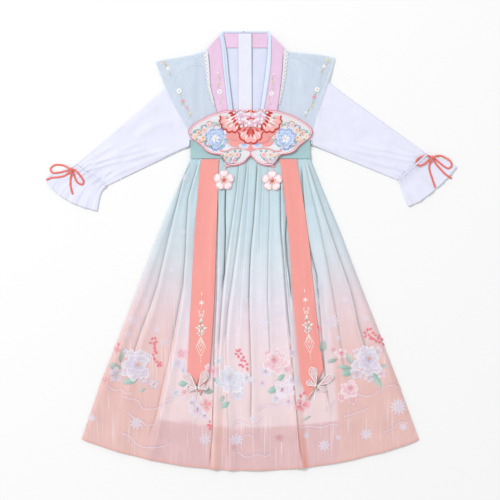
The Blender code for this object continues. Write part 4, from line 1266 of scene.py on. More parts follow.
def make_ribbons():
    satin = cloth("ribbon_satin", "#F7A19A", rough=0.42, sheen=0.2, slub=0.02, weave=0.2,
                  satin=0.4, specular=0.45, mottle=0.02)
    for hand, shape in RIBBONS.items():
        left, right, tip = shape.values()
        x, y = patch(smooth_line(left), smooth_line(right), (22, 200),
                     bottom=[left[-1], tip, right[-1]])
        lay("ribbon_" + hand, x, y, satin, "ribbon_satin", reach=4, rounds=20,
            rise=ridges(x, y, RIBBON_FOLDS[hand]))


# Butterfly


def butterfly_reach(angle):
    """The outline's reach from its middle, with the corners of the table a little rounded."""
    degrees = np.degrees(np.arcsin(np.sin(angle)))
    table = np.array(BUTTERFLY, float)
    return sum(np.interp(degrees + turn, table[:, 0], table[:, 1]) for turn in (-2, 0, 2)) / 3


def round_grid(middle, reach, cells):
    u, v = grid_shares(*cells)
    angle = -math.tau * u - math.pi / 2
    radius = reach(angle) * np.maximum(v, 0.001)
    return middle[0] + radius * np.cos(angle), middle[1] + radius * np.sin(angle), v


PAD_EDGE = 0.001
BORDER = [
    # in from the edge, width, rise, colour
    (0.0014, 0.0028, 0.0011, "#E88C9B"),
    (0.0038, 0.0020, 0.0007, "#FCEEF1"),
    (0.0059, 0.0013, 0.0006, "#EB96A4"),
    (0.0080, 0.0018, 0.0005, "#F6F3F8"),
]


def outline(from_edge, start=0.0, end=360.0, count=200):
    """A line round the butterfly at this distance in from its edge, between two directions."""
    angle = np.radians(np.linspace(start, end, count))
    reach = butterfly_reach(angle) - from_edge
    return np.stack([BUTTERFLY_AT[0] + reach * np.cos(angle),
                     BUTTERFLY_AT[1] + reach * np.sin(angle)], -1)


def mirrored(line):
    return [(2 * BUTTERFLY_AT[0] - x, y) for x, y in line]


WING_SEAM = [(0.0030, 0.2300), (0.0200, 0.2340), (0.0400, 0.2330), (0.0560, 0.2270),
             (0.0700, 0.2290)]     # between the upper and the lower wing
WING_SPRIGS = [
    # x       y      radius  petals base       tip        heart
    (0.0300, 0.2190, 0.0062, 5, "#F49BA8", "#FFEDEE", "#F0C070"),
    (0.0460, 0.2190, 0.0058, 5, "#F4BDAA", "#FDEBE0", "#E08C7A"),
    (0.0380, 0.2060, 0.0056, 5, "#EF8FA2", "#FFE8EE", "#F0C070"),
    (0.0500, 0.2060, 0.0046, 5, "#9DB4E0", "#E6EEFB", "#F3E2B4"),
    (0.0560, 0.2170, 0.0040, 5, "#F5CBB0", "#FFF4E8", "#E08C7A"),
    (0.1080, 0.2580, 0.0072, 6, "#F3BE9C", "#FDEEE0", "#E59480"),
    (0.1180, 0.2690, 0.0060, 5, "#EE9A96", "#FBDCD4", "#E9B870"),
    (0.1280, 0.2620, 0.0052, 5, "#F1CFA8", "#FFF5E6", "#E9A090"),
    (0.1060, 0.2760, 0.0058, 5, "#EFA59C", "#FFEFE8", "#E9B870"),
    (0.0960, 0.2880, 0.0052, 5, "#F1A6AE", "#FFEDEE", "#F0C070"),
    (0.0860, 0.2880, 0.0044, 5, "#B9A8D8", "#EFE9F8", "#F0D8A0"),
    (0.1160, 0.2520, 0.0044, 5, "#F7B9A4", "#FDE6DA", "#D8705C"),
    (0.0960, 0.2440, 0.0048, 5, "#F4A9B8", "#FFF0F4", "#F0C070"),
    (0.0580, 0.2480, 0.0046, 5, "#8FB0E0", "#E2ECFA", "#F3E2B4"),
    (0.0560, 0.2600, 0.0040, 5, "#F1A6AE", "#FFEDEE", "#F0C070"),
]
WING_LEAVES = [
    # x       y      degrees length
    (0.0340, 0.2240, 60, 0.0110), (0.0400, 0.2180, 10, 0.0100), (0.0340, 0.2120, -60, 0.0100),
    (0.0260, 0.2250, 120, 0.0090), (0.0440, 0.2120, -70, 0.0100), (0.0520, 0.2120, 20, 0.0090),
    (0.0520, 0.2230, 60, 0.0080), (0.0620, 0.2160, -20, 0.0090), (0.1040, 0.2650, -60, 0.0100),
    (0.1120, 0.2770, 80, 0.0100), (0.1250, 0.2700, 30, 0.0090), (0.0900, 0.2900, 150, 0.0100),
    (0.0620, 0.2420, -30, 0.0100), (0.0640, 0.2790, 130, 0.0095), (0.1010, 0.2830, 60, 0.0090),
    (0.1110, 0.2640, 10, 0.0090), (0.1000, 0.2500, -40, 0.0090), (0.0600, 0.2540, 180, 0.0090),
    (0.0710, 0.2860, 80, 0.0085), (0.0880, 0.2390, -20, 0.0090), (0.0760, 0.2860, 60, 0.0085),
    (0.0560, 0.2540, 200, 0.0080), (0.1330, 0.2660, -10, 0.0070), (0.1210, 0.2560, -40, 0.0080),
]
WING_CURLS = [
    [(0.0870, 0.2910), (0.0930, 0.2960), (0.1000, 0.2930), (0.0980, 0.2890)],
    [(0.1000, 0.2860), (0.1080, 0.2870), (0.1140, 0.2830), (0.1100, 0.2790)],
    [(0.1110, 0.2740), (0.1200, 0.2770), (0.1280, 0.2740), (0.1320, 0.2690)],
    [(0.1000, 0.2540), (0.1080, 0.2490), (0.1160, 0.2480), (0.1220, 0.2530)],
    [(0.0300, 0.2120), (0.0360, 0.2030), (0.0440, 0.1990), (0.0500, 0.2010)],
    [(0.0220, 0.2220), (0.0260, 0.2130), (0.0330, 0.2060), (0.0400, 0.2000)],
    [(0.0700, 0.2830), (0.0770, 0.2880), (0.0850, 0.2860), (0.0830, 0.2820)],
    [(0.0900, 0.2460), (0.0960, 0.2400), (0.1040, 0.2420), (0.1040, 0.2460)],
    [(0.0620, 0.2190), (0.0660, 0.2120), (0.0620, 0.2060), (0.0570, 0.2080)],
]
BODY_PATCH = [(0.0, 0.2480), (0.0240, 0.2520), (0.0460, 0.2600), (0.0540, 0.2500),
              (0.0440, 0.2390), (0.0220, 0.2370), (0.0, 0.2260)]   # right half of the coral body
TUFTS = (0.0150, 0.2420)


def make_butterfly(silk):
    """A padded butterfly: corded border, blue blossoms, sprigs on white.
    The peony at its middle is made with the rosettes.
    """
    ground = cloth("butterfly_ground", "#EAE9EF", rough=0.6, slub=0.05, weave=0.5, mottle=0.06)
    x, y, v = round_grid(BUTTERFLY_AT, lambda a: butterfly_reach(a) - PAD_EDGE, (220, 24))
    rim = 0.0007 * np.sqrt(np.clip(1 - v**8, 0, 1))
    pad = lay("butterfly", x, y, ground, "butterfly_embroidery", "pad", wall=0.0018, reach=5,
              rounds=14, rise=rim, around=True)

    border = Needlework("butterfly_border")
    for from_edge, width, rise, code in BORDER:
        border.stitch(outline(from_edge), width, code, rise)
    border.stitch([(BUTTERFLY_AT[0], 0.2420), (BUTTERFLY_AT[0], 0.2190)], 0.0034, "#EE9AA4",
                  0.0014, smooth=False)
    for turn in (lambda line: line, mirrored):
        border.stitch(turn(WING_SEAM), 0.0034, "#F0A3AC", 0.0012)
        border.stitch(turn([(x - 0.001, y - 0.0030) for x, y in WING_SEAM]), 0.0014, "#FBEDEF",
                      0.0008)
        border.stitch(turn([(0.0040, 0.3080), (0.0100, 0.3160), (0.0200, 0.3180)]), 0.0016,
                      "#E2605A", 0.0009)
    border.make(silk, "butterfly_embroidery")

    sprigs = Needlework("butterfly_sprigs")
    for sign in (1, -1):
        middle = BUTTERFLY_AT[0]
        upper = smooth_line([(middle + sign * bx, by) for bx, by in BODY_PATCH[:4]], 6)
        lower = smooth_line([(middle + sign * bx, by) for bx, by in BODY_PATCH[:2:-1]], 6)
        x, y = patch(upper, lower, (8, 18))
        if sign > 0:
            x, y = x[:, ::-1], y[:, ::-1]
        sprigs.add(x, y, 0.0004, colour("#F3A29F"))
        sprigs.lift += 0.0005
        for k in range(7):
            angle = math.radians(-150 + 20 * k)
            tx, ty = middle + sign * TUFTS[0], TUFTS[1] + 0.004
            sprigs.leaf(tx, ty, angle, 0.0150, 0.0050, "#7F9CE0", "#FFFFFF", 0.0012)
        for fx, fy, radius, petals, base, tip, heart in WING_SPRIGS:
            sprigs.flower(middle + sign * fx, fy, radius, petals, base, tip, heart, 0.0007,
                          turn=draw.uniform(0, 1.2))
        for fx, fy, degrees, length in WING_LEAVES:
            angle = to_side(degrees, sign)
            sprigs.leaf(middle + sign * fx, fy, angle, length, 0.0040, "#5F9E90", "#B7D8CC",
                        0.0006, bend=0.1 * sign)
        for number, curl in enumerate(WING_CURLS):
            line = [(middle + sign * cx, cy) for cx, cy in curl]
            sprigs.stitch(line, 0.0015, ("#E4A488", "#A998C8", "#7FB09E")[number % 3], 0.0006)
        for k in range(9):
            share = k / 8
            bx, by = 0.068 + 0.030 * share, 0.2325 - 0.0030 * math.sin(math.pi * share)
            sprigs.disc(middle + sign * bx, by + 0.006 * share, 0.0012, "#5F80C8", 0.0007,
                        sides=6)
    sprigs.make(silk, "butterfly_embroidery")


PEONY_FANS = [
    # dx      dy      degrees reach   spread base       tip        rim        edge   waves
    (0.0000, 0.0060, -90, 0.0400, 1.25, "#FBD9D8", "#F5A9A6", "#C8281E", 0.095, 5),
    (0.0325, 0.0385, -57, 0.0500, 0.86, "#FBD9D8", "#F5A9A6", "#C8281E", 0.085, 5),
    (0.0330, 0.0385, -60, 0.0280, 0.80, "#FFF6F6", "#FADCDA", "#EC8A82", 0.060, 3),
]
PEONY_STROKES = [
    # dx      dy      degrees length width  colour
    (0.0330, 0.0420, -12, 0.0190, 0.0060, "#CC2A20"),
    (0.0340, 0.0370, -26, 0.0150, 0.0070, "#CC2A20"),
    (0.0330, 0.0310, -36, 0.0160, 0.0060, "#D8443A"),
    (0.0320, 0.0250, -46, 0.0140, 0.0070, "#CC2A20"),
    (0.0280, 0.0180, -56, 0.0140, 0.0060, "#D8443A"),
    (0.0220, 0.0130, -66, 0.0130, 0.0070, "#CC2A20"),
    (0.0010, 0.0040, -62, 0.0170, 0.0070, "#CC2A20"),
    (0.0020, 0.0050, -84, 0.0230, 0.0060, "#E0584E"),
    (0.0110, 0.0040, -48, 0.0110, 0.0050, "#E0584E"),
    (0.0400, 0.0250, -10, 0.0170, 0.0036, "#FFF8F6"),
    (0.0420, 0.0210, -28, 0.0160, 0.0036, "#FFF8F6"),
    (0.0390, 0.0150, -50, 0.0130, 0.0036, "#FFF8F6"),
    (0.0300, 0.0120, -75, 0.0110, 0.0032, "#FFF8F6"),
    (0.0450, 0.0280, -5, 0.0140, 0.0024, "#8FA68C"),
    (0.0440, 0.0180, -38, 0.0130, 0.0022, "#8FA68C"),
    (0.0085, -0.0120, -72, 0.0130, 0.0032, "#FFF8F6"),
    (0.0160, -0.0060, -50, 0.0120, 0.0032, "#FFF8F6"),
]
FLORETS = [
    # dx      dy      radius  petals base       tip        heart
    (0.0000, 0.0270, 0.0165, 5, "#DFA9C2", "#FFFFFF", "#CC2A20"),
    (0.0215, 0.0320, 0.0130, 5, "#CDB9E2", "#FFFFFF", "#F0C2CC"),
    (0.0170, 0.0160, 0.0125, 5, "#E2B2CB", "#FFFDFE", "#E8A6AE"),
    (0.0325, 0.0390, 0.0085, 4, "#CDB9E2", "#FFFFFF", "#F0C2CC"),
    (0.0125, 0.0410, 0.0085, 4, "#D8C4E6", "#FFFFFF", "#F0C2CC"),
]


def make_rosettes(silk):
    """The peony on the butterfly, ring on ring, and a blue blossom on each wing."""
    coral = cloth("rosette_satin", "#F2A09C", rough=0.45, slub=0.03, weave=0.4)
    wide, tall = ROSETTE_REACH

    def petals(a):
        oval = wide * tall / np.hypot(tall * np.cos(a), wide * np.sin(a))
        return oval * (0.84 + 0.14 * np.abs(np.cos(4.5 * a)))

    x, y, v = round_grid(ROSETTE_AT, petals, (160, 16))
    base = lay("butterfly_rosette", x, y, coral, "rosette_embroidery", "pad", wall=0.0008,
               reach=3, rounds=6, rise=0.0004 * (1 - v**6), around=True)
    sky = cloth("blue_satin", "#C3D5F2", rough=0.45, slub=0.03, weave=0.4)
    for hand, sign in HANDS.items():
        middle = (BUTTERFLY_AT[0] + sign * BLUE_ROSETTE_AT, BLUE_ROSETTE_Y)
        x, y, _ = round_grid(
            middle, lambda a: BLUE_ROSETTE * (0.80 + 0.14 * np.abs(np.cos(3 * a))), (96, 10))
        base = lay("blue_rosette_" + hand, x, y, sky, "blue_embroidery", "pad", wall=0.0006,
                   rounds=4, around=True)

    cx, cy = ROSETTE_AT
    peony = Needlework("rosette_petals")
    for dx, dy, degrees, reach, spread_by, low, high, rim, edge, waves in PEONY_FANS:
        for sign in ((1,) if degrees == -90 else (1, -1)):
            angle = to_side(degrees, sign)
            peony.fan(cx + sign * dx, cy + dy, angle, reach, spread_by, low, high, rim, 0.0008,
                      waves, 0.09, edge)
            peony.lift += 0.0002
    for dx, dy, degrees, length, width, code in PEONY_STROKES:
        for sign in (1, -1):
            angle = to_side(degrees, sign)
            peony.leaf(cx + sign * dx, cy + dy, angle, length, width, code, code, 0.0010)
    peony.lift += 0.0004
    for dx, dy, radius in ((0, 0.0250, 0.0185), (0.0190, 0.0270, 0.0150),
                           (-0.0190, 0.0270, 0.0150)):
        peony.disc(cx + dx, cy + dy, radius, "#E7BCD2", 0.0006, sides=24)
    peony.lift += 0.0003
    for dx, dy, radius, petals_in, low, high, heart in FLORETS:
        for sign in ((1,) if dx == 0 else (1, -1)):
            for k in range(petals_in):
                angle = math.pi / 2 + sign * (0.4 + dx * 40) + math.tau * k / petals_in
                peony.fan(cx + sign * dx, cy + dy, angle, radius, 1.9 / petals_in, low, high,
                          high, 0.0010, 2, 0.16, 0.05)
            peony.disc(cx + sign * dx, cy + dy, 0.17 * radius, heart, 0.0016, sides=7)
    for k in range(9):
        angle = math.radians(-175 + 21.2 * k)
        peony.disc(cx + 0.0300 * math.cos(angle), cy + 0.0260 + 0.0200 * math.sin(angle), 0.0015,
                   "#F8D9DF" if k % 2 else "#CC2A20", 0.0010, sides=7)
    for sign in (1, -1):
        for k in range(2):
            peony.leaf(cx + sign * 0.002, cy + 0.0420 - 0.0170 * k,
                       math.radians(90 - sign * 90), 0.0090, 0.0056, "#CF2C22", "#E8655A", 0.0016)
    peony.disc(cx, cy + 0.0420, 0.0022, "#F3C66E", 0.0018)
    peony.make(silk, "rosette_embroidery")

    blue = Needlework("blue_blossoms")
    for sign in (-1, 1):
        cx, cy = BUTTERFLY_AT[0] + sign * 0.0800, 0.2555
        blue.lift = 0.0003
        for count, reach, spread_by, low, high, rim in (
                (7, 0.0285, 0.42, "#B4CAF2", "#C6D8F7", "#8DADE6"),
                (6, 0.0210, 0.46, "#E6EEFC", "#A9C4F0", "#F6F9FF"),
                (5, 0.0135, 0.50, "#F9FBFF", "#D6E3F8", "#86A8E4")):
            for k in range(count):
                angle = 0.3 * count + math.tau * k / count + draw.uniform(-0.1, 0.1)
                angle = angle if sign > 0 else math.pi - angle
                length = reach * draw.uniform(0.86, 1.02)
                blue.fan(cx, cy, angle, length, spread_by, low, high, rim, 0.0007, 3, 0.12,
                         0.10)
            blue.lift += 0.0003
        for k in range(7):
            angle = math.tau * k / 7
            blue.leaf(cx, cy, angle, 0.0070, 0.0022, "#E9B98C" if k % 2 else "#FFFFFF",
                      "#FFFFFF", 0.0008)
        blue.disc(cx, cy, 0.0020, "#F0C58E", 0.0009)
    blue.make(silk, "blue_embroidery")


def make_pendants(silk):
    petal = cloth("pendant_satin", "#F9DDE2", rough=0.5, slub=0.03, weave=0.4)
    for hand, middle in PENDANTS.items():
        x, y, v = round_grid(
            middle, lambda a: PENDANT * (0.72 + 0.25 * np.abs(np.sin(2.5 * a + 0.8))), (120, 14))
        pad = lay("pendant_" + hand, x, y, petal, "pendant_embroidery", "pad", wall=0.0012,
                  reach=4, rounds=8, rise=0.0006 * (1 - v**4), around=True)
        x, y = strip(smooth_line(PENDANT_CORD[hand], 10),
                     np.linspace(-1, 1, 7)[None, :] * 0.0011)
        lay("pendant_loop_" + hand, x[:, ::-1], y[:, ::-1], petal, "pendant_embroidery",
            "braid", wall=0.0014, reach=1, rounds=2)
    work = Needlework("pendant_petals")
    for cx, cy in PENDANTS.values():
        work.lift = 0.0002
        for k in range(5):
            angle = math.pi / 5 - 0.32 + math.tau * k / 5
            work.leaf(cx + 0.002 * math.cos(angle), cy + 0.002 * math.sin(angle), angle, 0.0215,
                      0.0205, "#FBE3E6", "#FFF8F8", 0.0010, blunt=1.9, notch=0.10,
                      rim="#F0A0AE", cells=(10, 10))
        work.lift += 0.0010
        for k in range(10):
            angle = math.pi / 5 - 0.32 + math.tau * k / 10
            reach = 0.0085 if k % 2 == 0 else 0.0060
            ex, ey = cx + reach * math.cos(angle), cy + reach * math.sin(angle)
            work.stitch([(cx, cy), (ex, ey)], 0.0009, "#E8A24E" if k % 2 else "#D8433E", 0.0005,
                        smooth=False)
            work.disc(ex, ey, 0.0012, "#F3CE7C" if k % 2 else "#D8433E", 0.0007, sides=7)
        work.disc(cx, cy, 0.0026, "#E05A50", 0.0009)
    for hand, line in PENDANT_CORD.items():
        knot = line[0]
        for k, shade in enumerate(("#F7C4CC", "#FBE6E9", "#F7C4CC")):
            work.disc(knot[0] - 0.004 + 0.004 * k, knot[1] - 0.001, 0.0030, shade, 0.0012,
                      edge="#EE9AA8")
    work.make(silk, "pendant_embroidery")


SMALL_WINGS = [
    # degrees length  width
    (56, 0.045, 0.0190),
    (4, 0.024, 0.0135),
]


def make_small_butterflies(silk):
    """A sheer butterfly at each ribbon's end: outlined wings, a body and two tails."""
    sheer = cloth("small_butterfly_organza", "#FCE6EA", rough=0.4, clear=0.66, slub=0.03)
    tilt = {"left": 0.10, "right": -0.40}
    for hand, middle in SMALL_BUTTERFLIES.items():
        def wings(a):
            reach = np.full(np.shape(a), 0.0055)
            for degrees, length, width in SMALL_WINGS:
                for middle_of in (degrees, 180 - degrees):
                    off = (a - tilt[hand] - math.radians(middle_of) + math.pi) % math.tau - math.pi
                    lobe = np.sqrt(np.clip(1 - (off * 1.30 * length / width) ** 2, 0, 1))
                    reach = np.maximum(reach, length * lobe)
            return reach

        x, y, _ = round_grid(middle, wings, (180, 14))
        piece = lay("small_butterfly_" + hand, x, y, sheer, "small_butterfly_organza", "wings",
                    wall=0.0004, reach=3, around=True)
    work = Needlework("small_butterfly_threads", reach=1)
    for hand, (cx, cy) in SMALL_BUTTERFLIES.items():
        lean = tilt[hand]

        def turned(dx, dy):
            return (cx + dx * math.cos(lean) - dy * math.sin(lean),
                    cy + dx * math.sin(lean) + dy * math.cos(lean))

        for sign in (-1, 1):
            for degrees, length, width in SMALL_WINGS:
                angle = to_side(degrees, sign) + lean
                rx, ry = turned(sign * 0.0015, 0.001 if degrees > 0 else -0.004)
                work.lift = 0.0005
                edge = []
                for t in np.linspace(-1, 1, 25):
                    s = 1 - abs(t)
                    half = width / 2 * math.sin(math.pi * min(max(s, 0.02), 0.99) ** 2.3) ** 0.75
                    off = math.copysign(half, t)
                    edge.append((rx + length * s * math.cos(angle) - off * math.sin(angle),
                                 ry + length * s * math.sin(angle) + off * math.cos(angle)))
                work.stitch(edge, 0.0015, "#FFFFFF", 0.0007, smooth=False)
                for share in (0.45, 0.62, 0.78):
                    for t in (-0.20, 0.0, 0.20):
                        work.disc(rx + share * length * math.cos(angle + t),
                                  ry + share * length * math.sin(angle + t), 0.0009,
                                  "#FFFFFF" if share < 0.7 else "#EFA9B8", 0.0006, sides=6)
                for t, reach in ((-0.22, 0.80), (0.0, 0.90), (0.22, 0.80)):
                    tip = (rx + reach * length * math.cos(angle + t),
                           ry + reach * length * math.sin(angle + t))
                    work.stitch([(rx, ry), tip], 0.0009, "#FBEDEA", 0.0004, smooth=False)
                work.lift = 0.0008
                work.leaf(rx, ry, angle, length * 0.62, width * 0.20, "#E79AAC", "#F9D3DA",
                          0.0004)
            work.lift = 0.0006
            work.stitch([turned(sign * 0.001, -0.008), turned(sign * 0.007, -0.026),
                         turned(sign * 0.011, -0.042)], 0.0034,
                        "#FFFFFF" if sign > 0 else "#E6D8D2", 0.0006, taper=True)
            work.stitch([turned(sign * 0.001, 0.010), turned(sign * 0.004, 0.020),
                         turned(sign * 0.009, 0.025)], 0.0009, "#9C9E80", 0.0005)
        work.lift = 0.0010
        work.leaf(*turned(0, 0.012), math.radians(-90) + lean, 0.022, 0.0027, "#7C7A5E",
                  "#BDB394", 0.0016)
        for k in range(4):
            work.disc(*turned(0, 0.009 - 0.005 * k), 0.0014, "#F3E3D4" if k % 2 else "#77735A",
                      0.0018, sides=8)
    work.make(silk, "small_butterfly_organza")


# Pale lines on the vest: the blouse's shoulder seam below it, and the wings' hemmed edges

SHOULDER_SEAMS = [
    # px, py from the wing's edge to the collar
    [(172.5, 92.5), (175.0, 77.5), (182.5, 70.0), (192.5, 66.0), (203.7, 65.0)],
    [(328.7, 79.0), (322.5, 75.0), (305.0, 62.5), (290.0, 55.0)],
]
WING_EDGES = [
    [(157.6, 64.5), (163.0, 80.0), (170.5, 98.0), (179.0, 115.5)],
    [(333.2, 60.5), (328.4, 76.0), (322.5, 92.0), (315.5, 111.0)],
]


# Sprigs on the collar and the wings

BODICE_FLOWERS = [
    # px     py     radius  base       tip        heart
    (179.4, 91.5, 0.0062, "#F1EEF0", "#FFFFFF", "#C9B98A"),
    (182.8, 101.5, 0.0046, "#EE9FAE", "#F6C9D2", "#D88A8A"),
    (186.6, 107.8, 0.0036, "#F0AEB4", "#F8D4D4", "#D9A27E"),
    (190.2, 114.0, 0.0032, "#E9DCC0", "#F8F1E2", "#C9B07E"),
    (163.2, 62.6, 0.0042, "#D9CDBB", "#F5EFE6", "#B89A6A"),
    (168.5, 69.0, 0.0046, "#F3F0EE", "#FFFFFF", "#D8B69A"),
    (317.0, 90.0, 0.0062, "#F1EEF0", "#FFFFFF", "#C9B98A"),
    (313.8, 97.4, 0.0048, "#EE9FAE", "#F3BFC8", "#D88A8A"),
    (311.4, 107.0, 0.0034, "#D9CBA6", "#F3EAD2", "#B79C68"),
    (306.0, 113.2, 0.0034, "#F0EDE6", "#FFFFFF", "#C9B98A"),
    (328.0, 60.6, 0.0050, "#DDD3B4", "#F0EAD4", "#B8A878"),
    (324.2, 66.8, 0.0044, "#F3F0EE", "#FFFFFF", "#D8A69A"),
    (219.8, 92.2, 0.0056, "#F6F3F4", "#FFFFFF", "#9C9A68"),
    (219.2, 83.6, 0.0034, "#E6D3AE", "#F6EBD6", "#B79C68"),
    (218.2, 73.4, 0.0022, "#FFFFFF", "#FFFFFF", "#F3E2C8"),
    (271.8, 94.0, 0.0054, "#F6F3F4", "#FFFFFF", "#9C9A68"),
    (272.8, 83.2, 0.0034, "#E6D3AE", "#F6EBD6", "#B79C68"),
    (274.2, 74.6, 0.0022, "#FFFFFF", "#FFFFFF", "#F3E2C8"),
]
BODICE_STEMS = [
    # colour, then the pixels it runs through
    ("#D6CBAC", [(179, 92), (181, 97), (184, 104), (188, 111), (191.5, 118)]),
    ("#D6CBAC", [(317, 90), (315, 96), (312, 104), (309, 110), (304.5, 117)]),
    ("#DACFB2", [(161.5, 61), (165, 65), (169, 71), (171.5, 77)]),
    ("#DACFB2", [(329, 59), (326.5, 64), (323, 70), (321.5, 74)]),
    ("#DCC3A4", [(218.2, 74), (219.4, 80), (218.4, 86), (219.8, 92)]),
    ("#EBD0C8", [(219.8, 93), (222.6, 98), (220.2, 102), (223.4, 106), (221.4, 110)]),
    ("#DCC3A4", [(274.2, 75), (272.4, 80), (273.4, 87), (271.8, 93)]),
    ("#EBD0C8", [(271.8, 95), (268.6, 99), (270.6, 103), (267.4, 107), (268.4, 110)]),
]
BODICE_LEAVES = [
    # px     py     degrees
    (180.5, 96.5, 20), (183.0, 104.0, 200), (187.5, 110.5, 10), (190.0, 117.0, -110),
    (165.5, 66.0, 30), (170.0, 73.0, -120), (166.0, 64.0, 190), (315.2, 95.0, 160),
    (312.4, 103.0, -20), (308.5, 110.5, 190), (305.0, 116.5, -70), (325.5, 65.0, 10),
    (322.4, 71.5, 200), (219.2, 79.0, 20), (218.8, 87.0, 200), (221.6, 98.0, 30),
    (221.2, 103.0, 210), (272.8, 79.0, 160), (272.8, 88.0, -20), (269.4, 99.0, 150),
    (269.8, 104.0, -20),
]


def make_bodice_sprigs(silk):
    work = Needlework("bodice_sprigs", lift=0.0002, reach=1)
    for code, line in BODICE_STEMS:
        work.stitch([spot(*p) for p in line], 0.0010, code, 0.0005)
    for px, py, degrees in BODICE_LEAVES:
        work.leaf(*spot(px, py), math.radians(degrees), 0.0058, 0.0026, "#C9BA90", "#ECE4CE",
                  0.0006, bend=0.15)
    work.lift = 0.0004
    for px, py, radius, base, tip, heart in BODICE_FLOWERS:
        work.flower(*spot(px, py), radius, 5, base, tip, heart, 0.0009,
                    turn=draw.uniform(0, 1.2))
    work.make(silk, "collar_brocade")


def dashes(work, line, step, width, code, rise=0.0004, fill=0.6):
    """Running stitches along a line."""
    length = np.hypot(*np.diff(line, axis=0).T).sum()
    count = int(length / step)
    for k in range(count):
        ends = along(line, np.array([k, k + fill]) / count)
        work.stitch(np.stack(ends, -1), width, code, rise, smooth=False)


def make_seams(silk):
    """The collar's stitched edges, with a painted shadow line along the left binding and down the
    zip guard's edge, wrist casings, pale lines on the vest, and lace holes as grey discs of
    painted shade.
    """
    work = Needlework("bodice_seams", lift=0.0002, reach=1)
    for (outer, inner, edge), sign in zip(BANDS.values(), (1, -1)):
        line = smooth_line(outer) + [sign * 0.0009, 0]
        dashes(work, line[3:-4], 0.0024, 0.0011, "#8D7F8C")
        # Along each binding's inner edge: on the left a dark grey line of painted shadow, on the
        # right a pale blue line
        line = smooth_line(edge) - [sign * 0.0008, 0]
        work.stitch(line[2:-3], 0.0011, "#9D97A0" if sign > 0 else "#B9C6DC", 0.0005,
                    smooth=False)
        line = smooth_line(inner) - [sign * 0.0006, 0]
        dashes(work, line[2:-4], 0.0022, 0.0006, "#D9B2D2")
    # The dark line down the zip guard's right edge is painted shadow.
    x = GUARD[1] + 0.0006
    work.stitch([(x, TOP - BINDING - 0.002), (x + 0.0012, GUARD_END + 0.004)], 0.0012, "#8E8C9C",
                0.0004, smooth=False)
    work.stitch([(GUARD[0] + 0.0010, TOP - 0.008), (GUARD[0] + 0.0010, GUARD_END + 0.004)], 0.0006,
                "#CDD2E6", 0.0003, smooth=False)
    low = TOP - COLLAR_DEPTH - 0.0004
    ends = [edge[0][0] for _, _, edge in BANDS.values()]
    for left, right in ((ends[0] + 0.006, GUARD[0] - 0.001), (GUARD[1] + 0.003, ends[1] - 0.003)):
        dashes(work, np.array([(left, low), (right, low)]), 0.0024, 0.0007, "#B7A4BE")
    work.disc(-0.0170, TOP - 0.0025, 0.0011, "#5A5A66", 0.0008, sides=8)
    work.make(silk, "collar_edging")

    casing = Needlework("wrist_casings", lift=0.0001, reach=3)
    for hand in HANDS:
        top, low = (np.array(line[-1]) for line in SLEEVES[hand])
        line = np.array([top + (low - top) * t for t in np.linspace(0.03, 0.97, 40)])
        casing.stitch(line, 0.0036, "#E3E4F8", 0.0001, smooth=False)
    casing.make(silk, "blouse_chiffon")

    pale = Needlework("vest_lines", lift=0.0001, reach=1)
    for lines, width, code in ((SHOULDER_SEAMS, 0.0014, "#D9E5F4"),
                               (WING_EDGES, 0.0012, "#E4EDF8")):
        for line in lines:
            pale.stitch([spot(*p) for p in line], width, code, 0.0002)
    pale.make(silk, "vest_organza")

    holes = Needlework("lace_eyelets", lift=0.0002, reach=0)
    for hand, sign in HANDS.items():
        for k in range(LACE_SCALLOPS):
            v = (k + 0.5) / LACE_SCALLOPS
            px, py, width = lace_place(hand, v)
            # Each eyelet's hole is a grey disc of painted shade in a ring of raised white
            # stitches, with a smaller grey disc of painted shade further in.
            x, y = px + sign * width * 0.62, py - 0.0025
            holes.disc(x, y, 0.0015 * (1 - 0.5 * v), "#A4A8B4", 0.0001, sides=8)
            for j in range(6):
                angle = math.tau * j / 6
                reach = 0.0026 * (1 - 0.5 * v)
                holes.disc(x + reach * math.cos(angle), y + reach * math.sin(angle),
                           0.0007 * (1 - 0.4 * v), "#FFFFFF", 0.0007, sides=6)
            x = px + sign * width * 0.25
            holes.disc(x, y + 0.004, 0.0008, "#B9BDC8", 0.0001, sides=6)
    holes.make(silk, "lace")


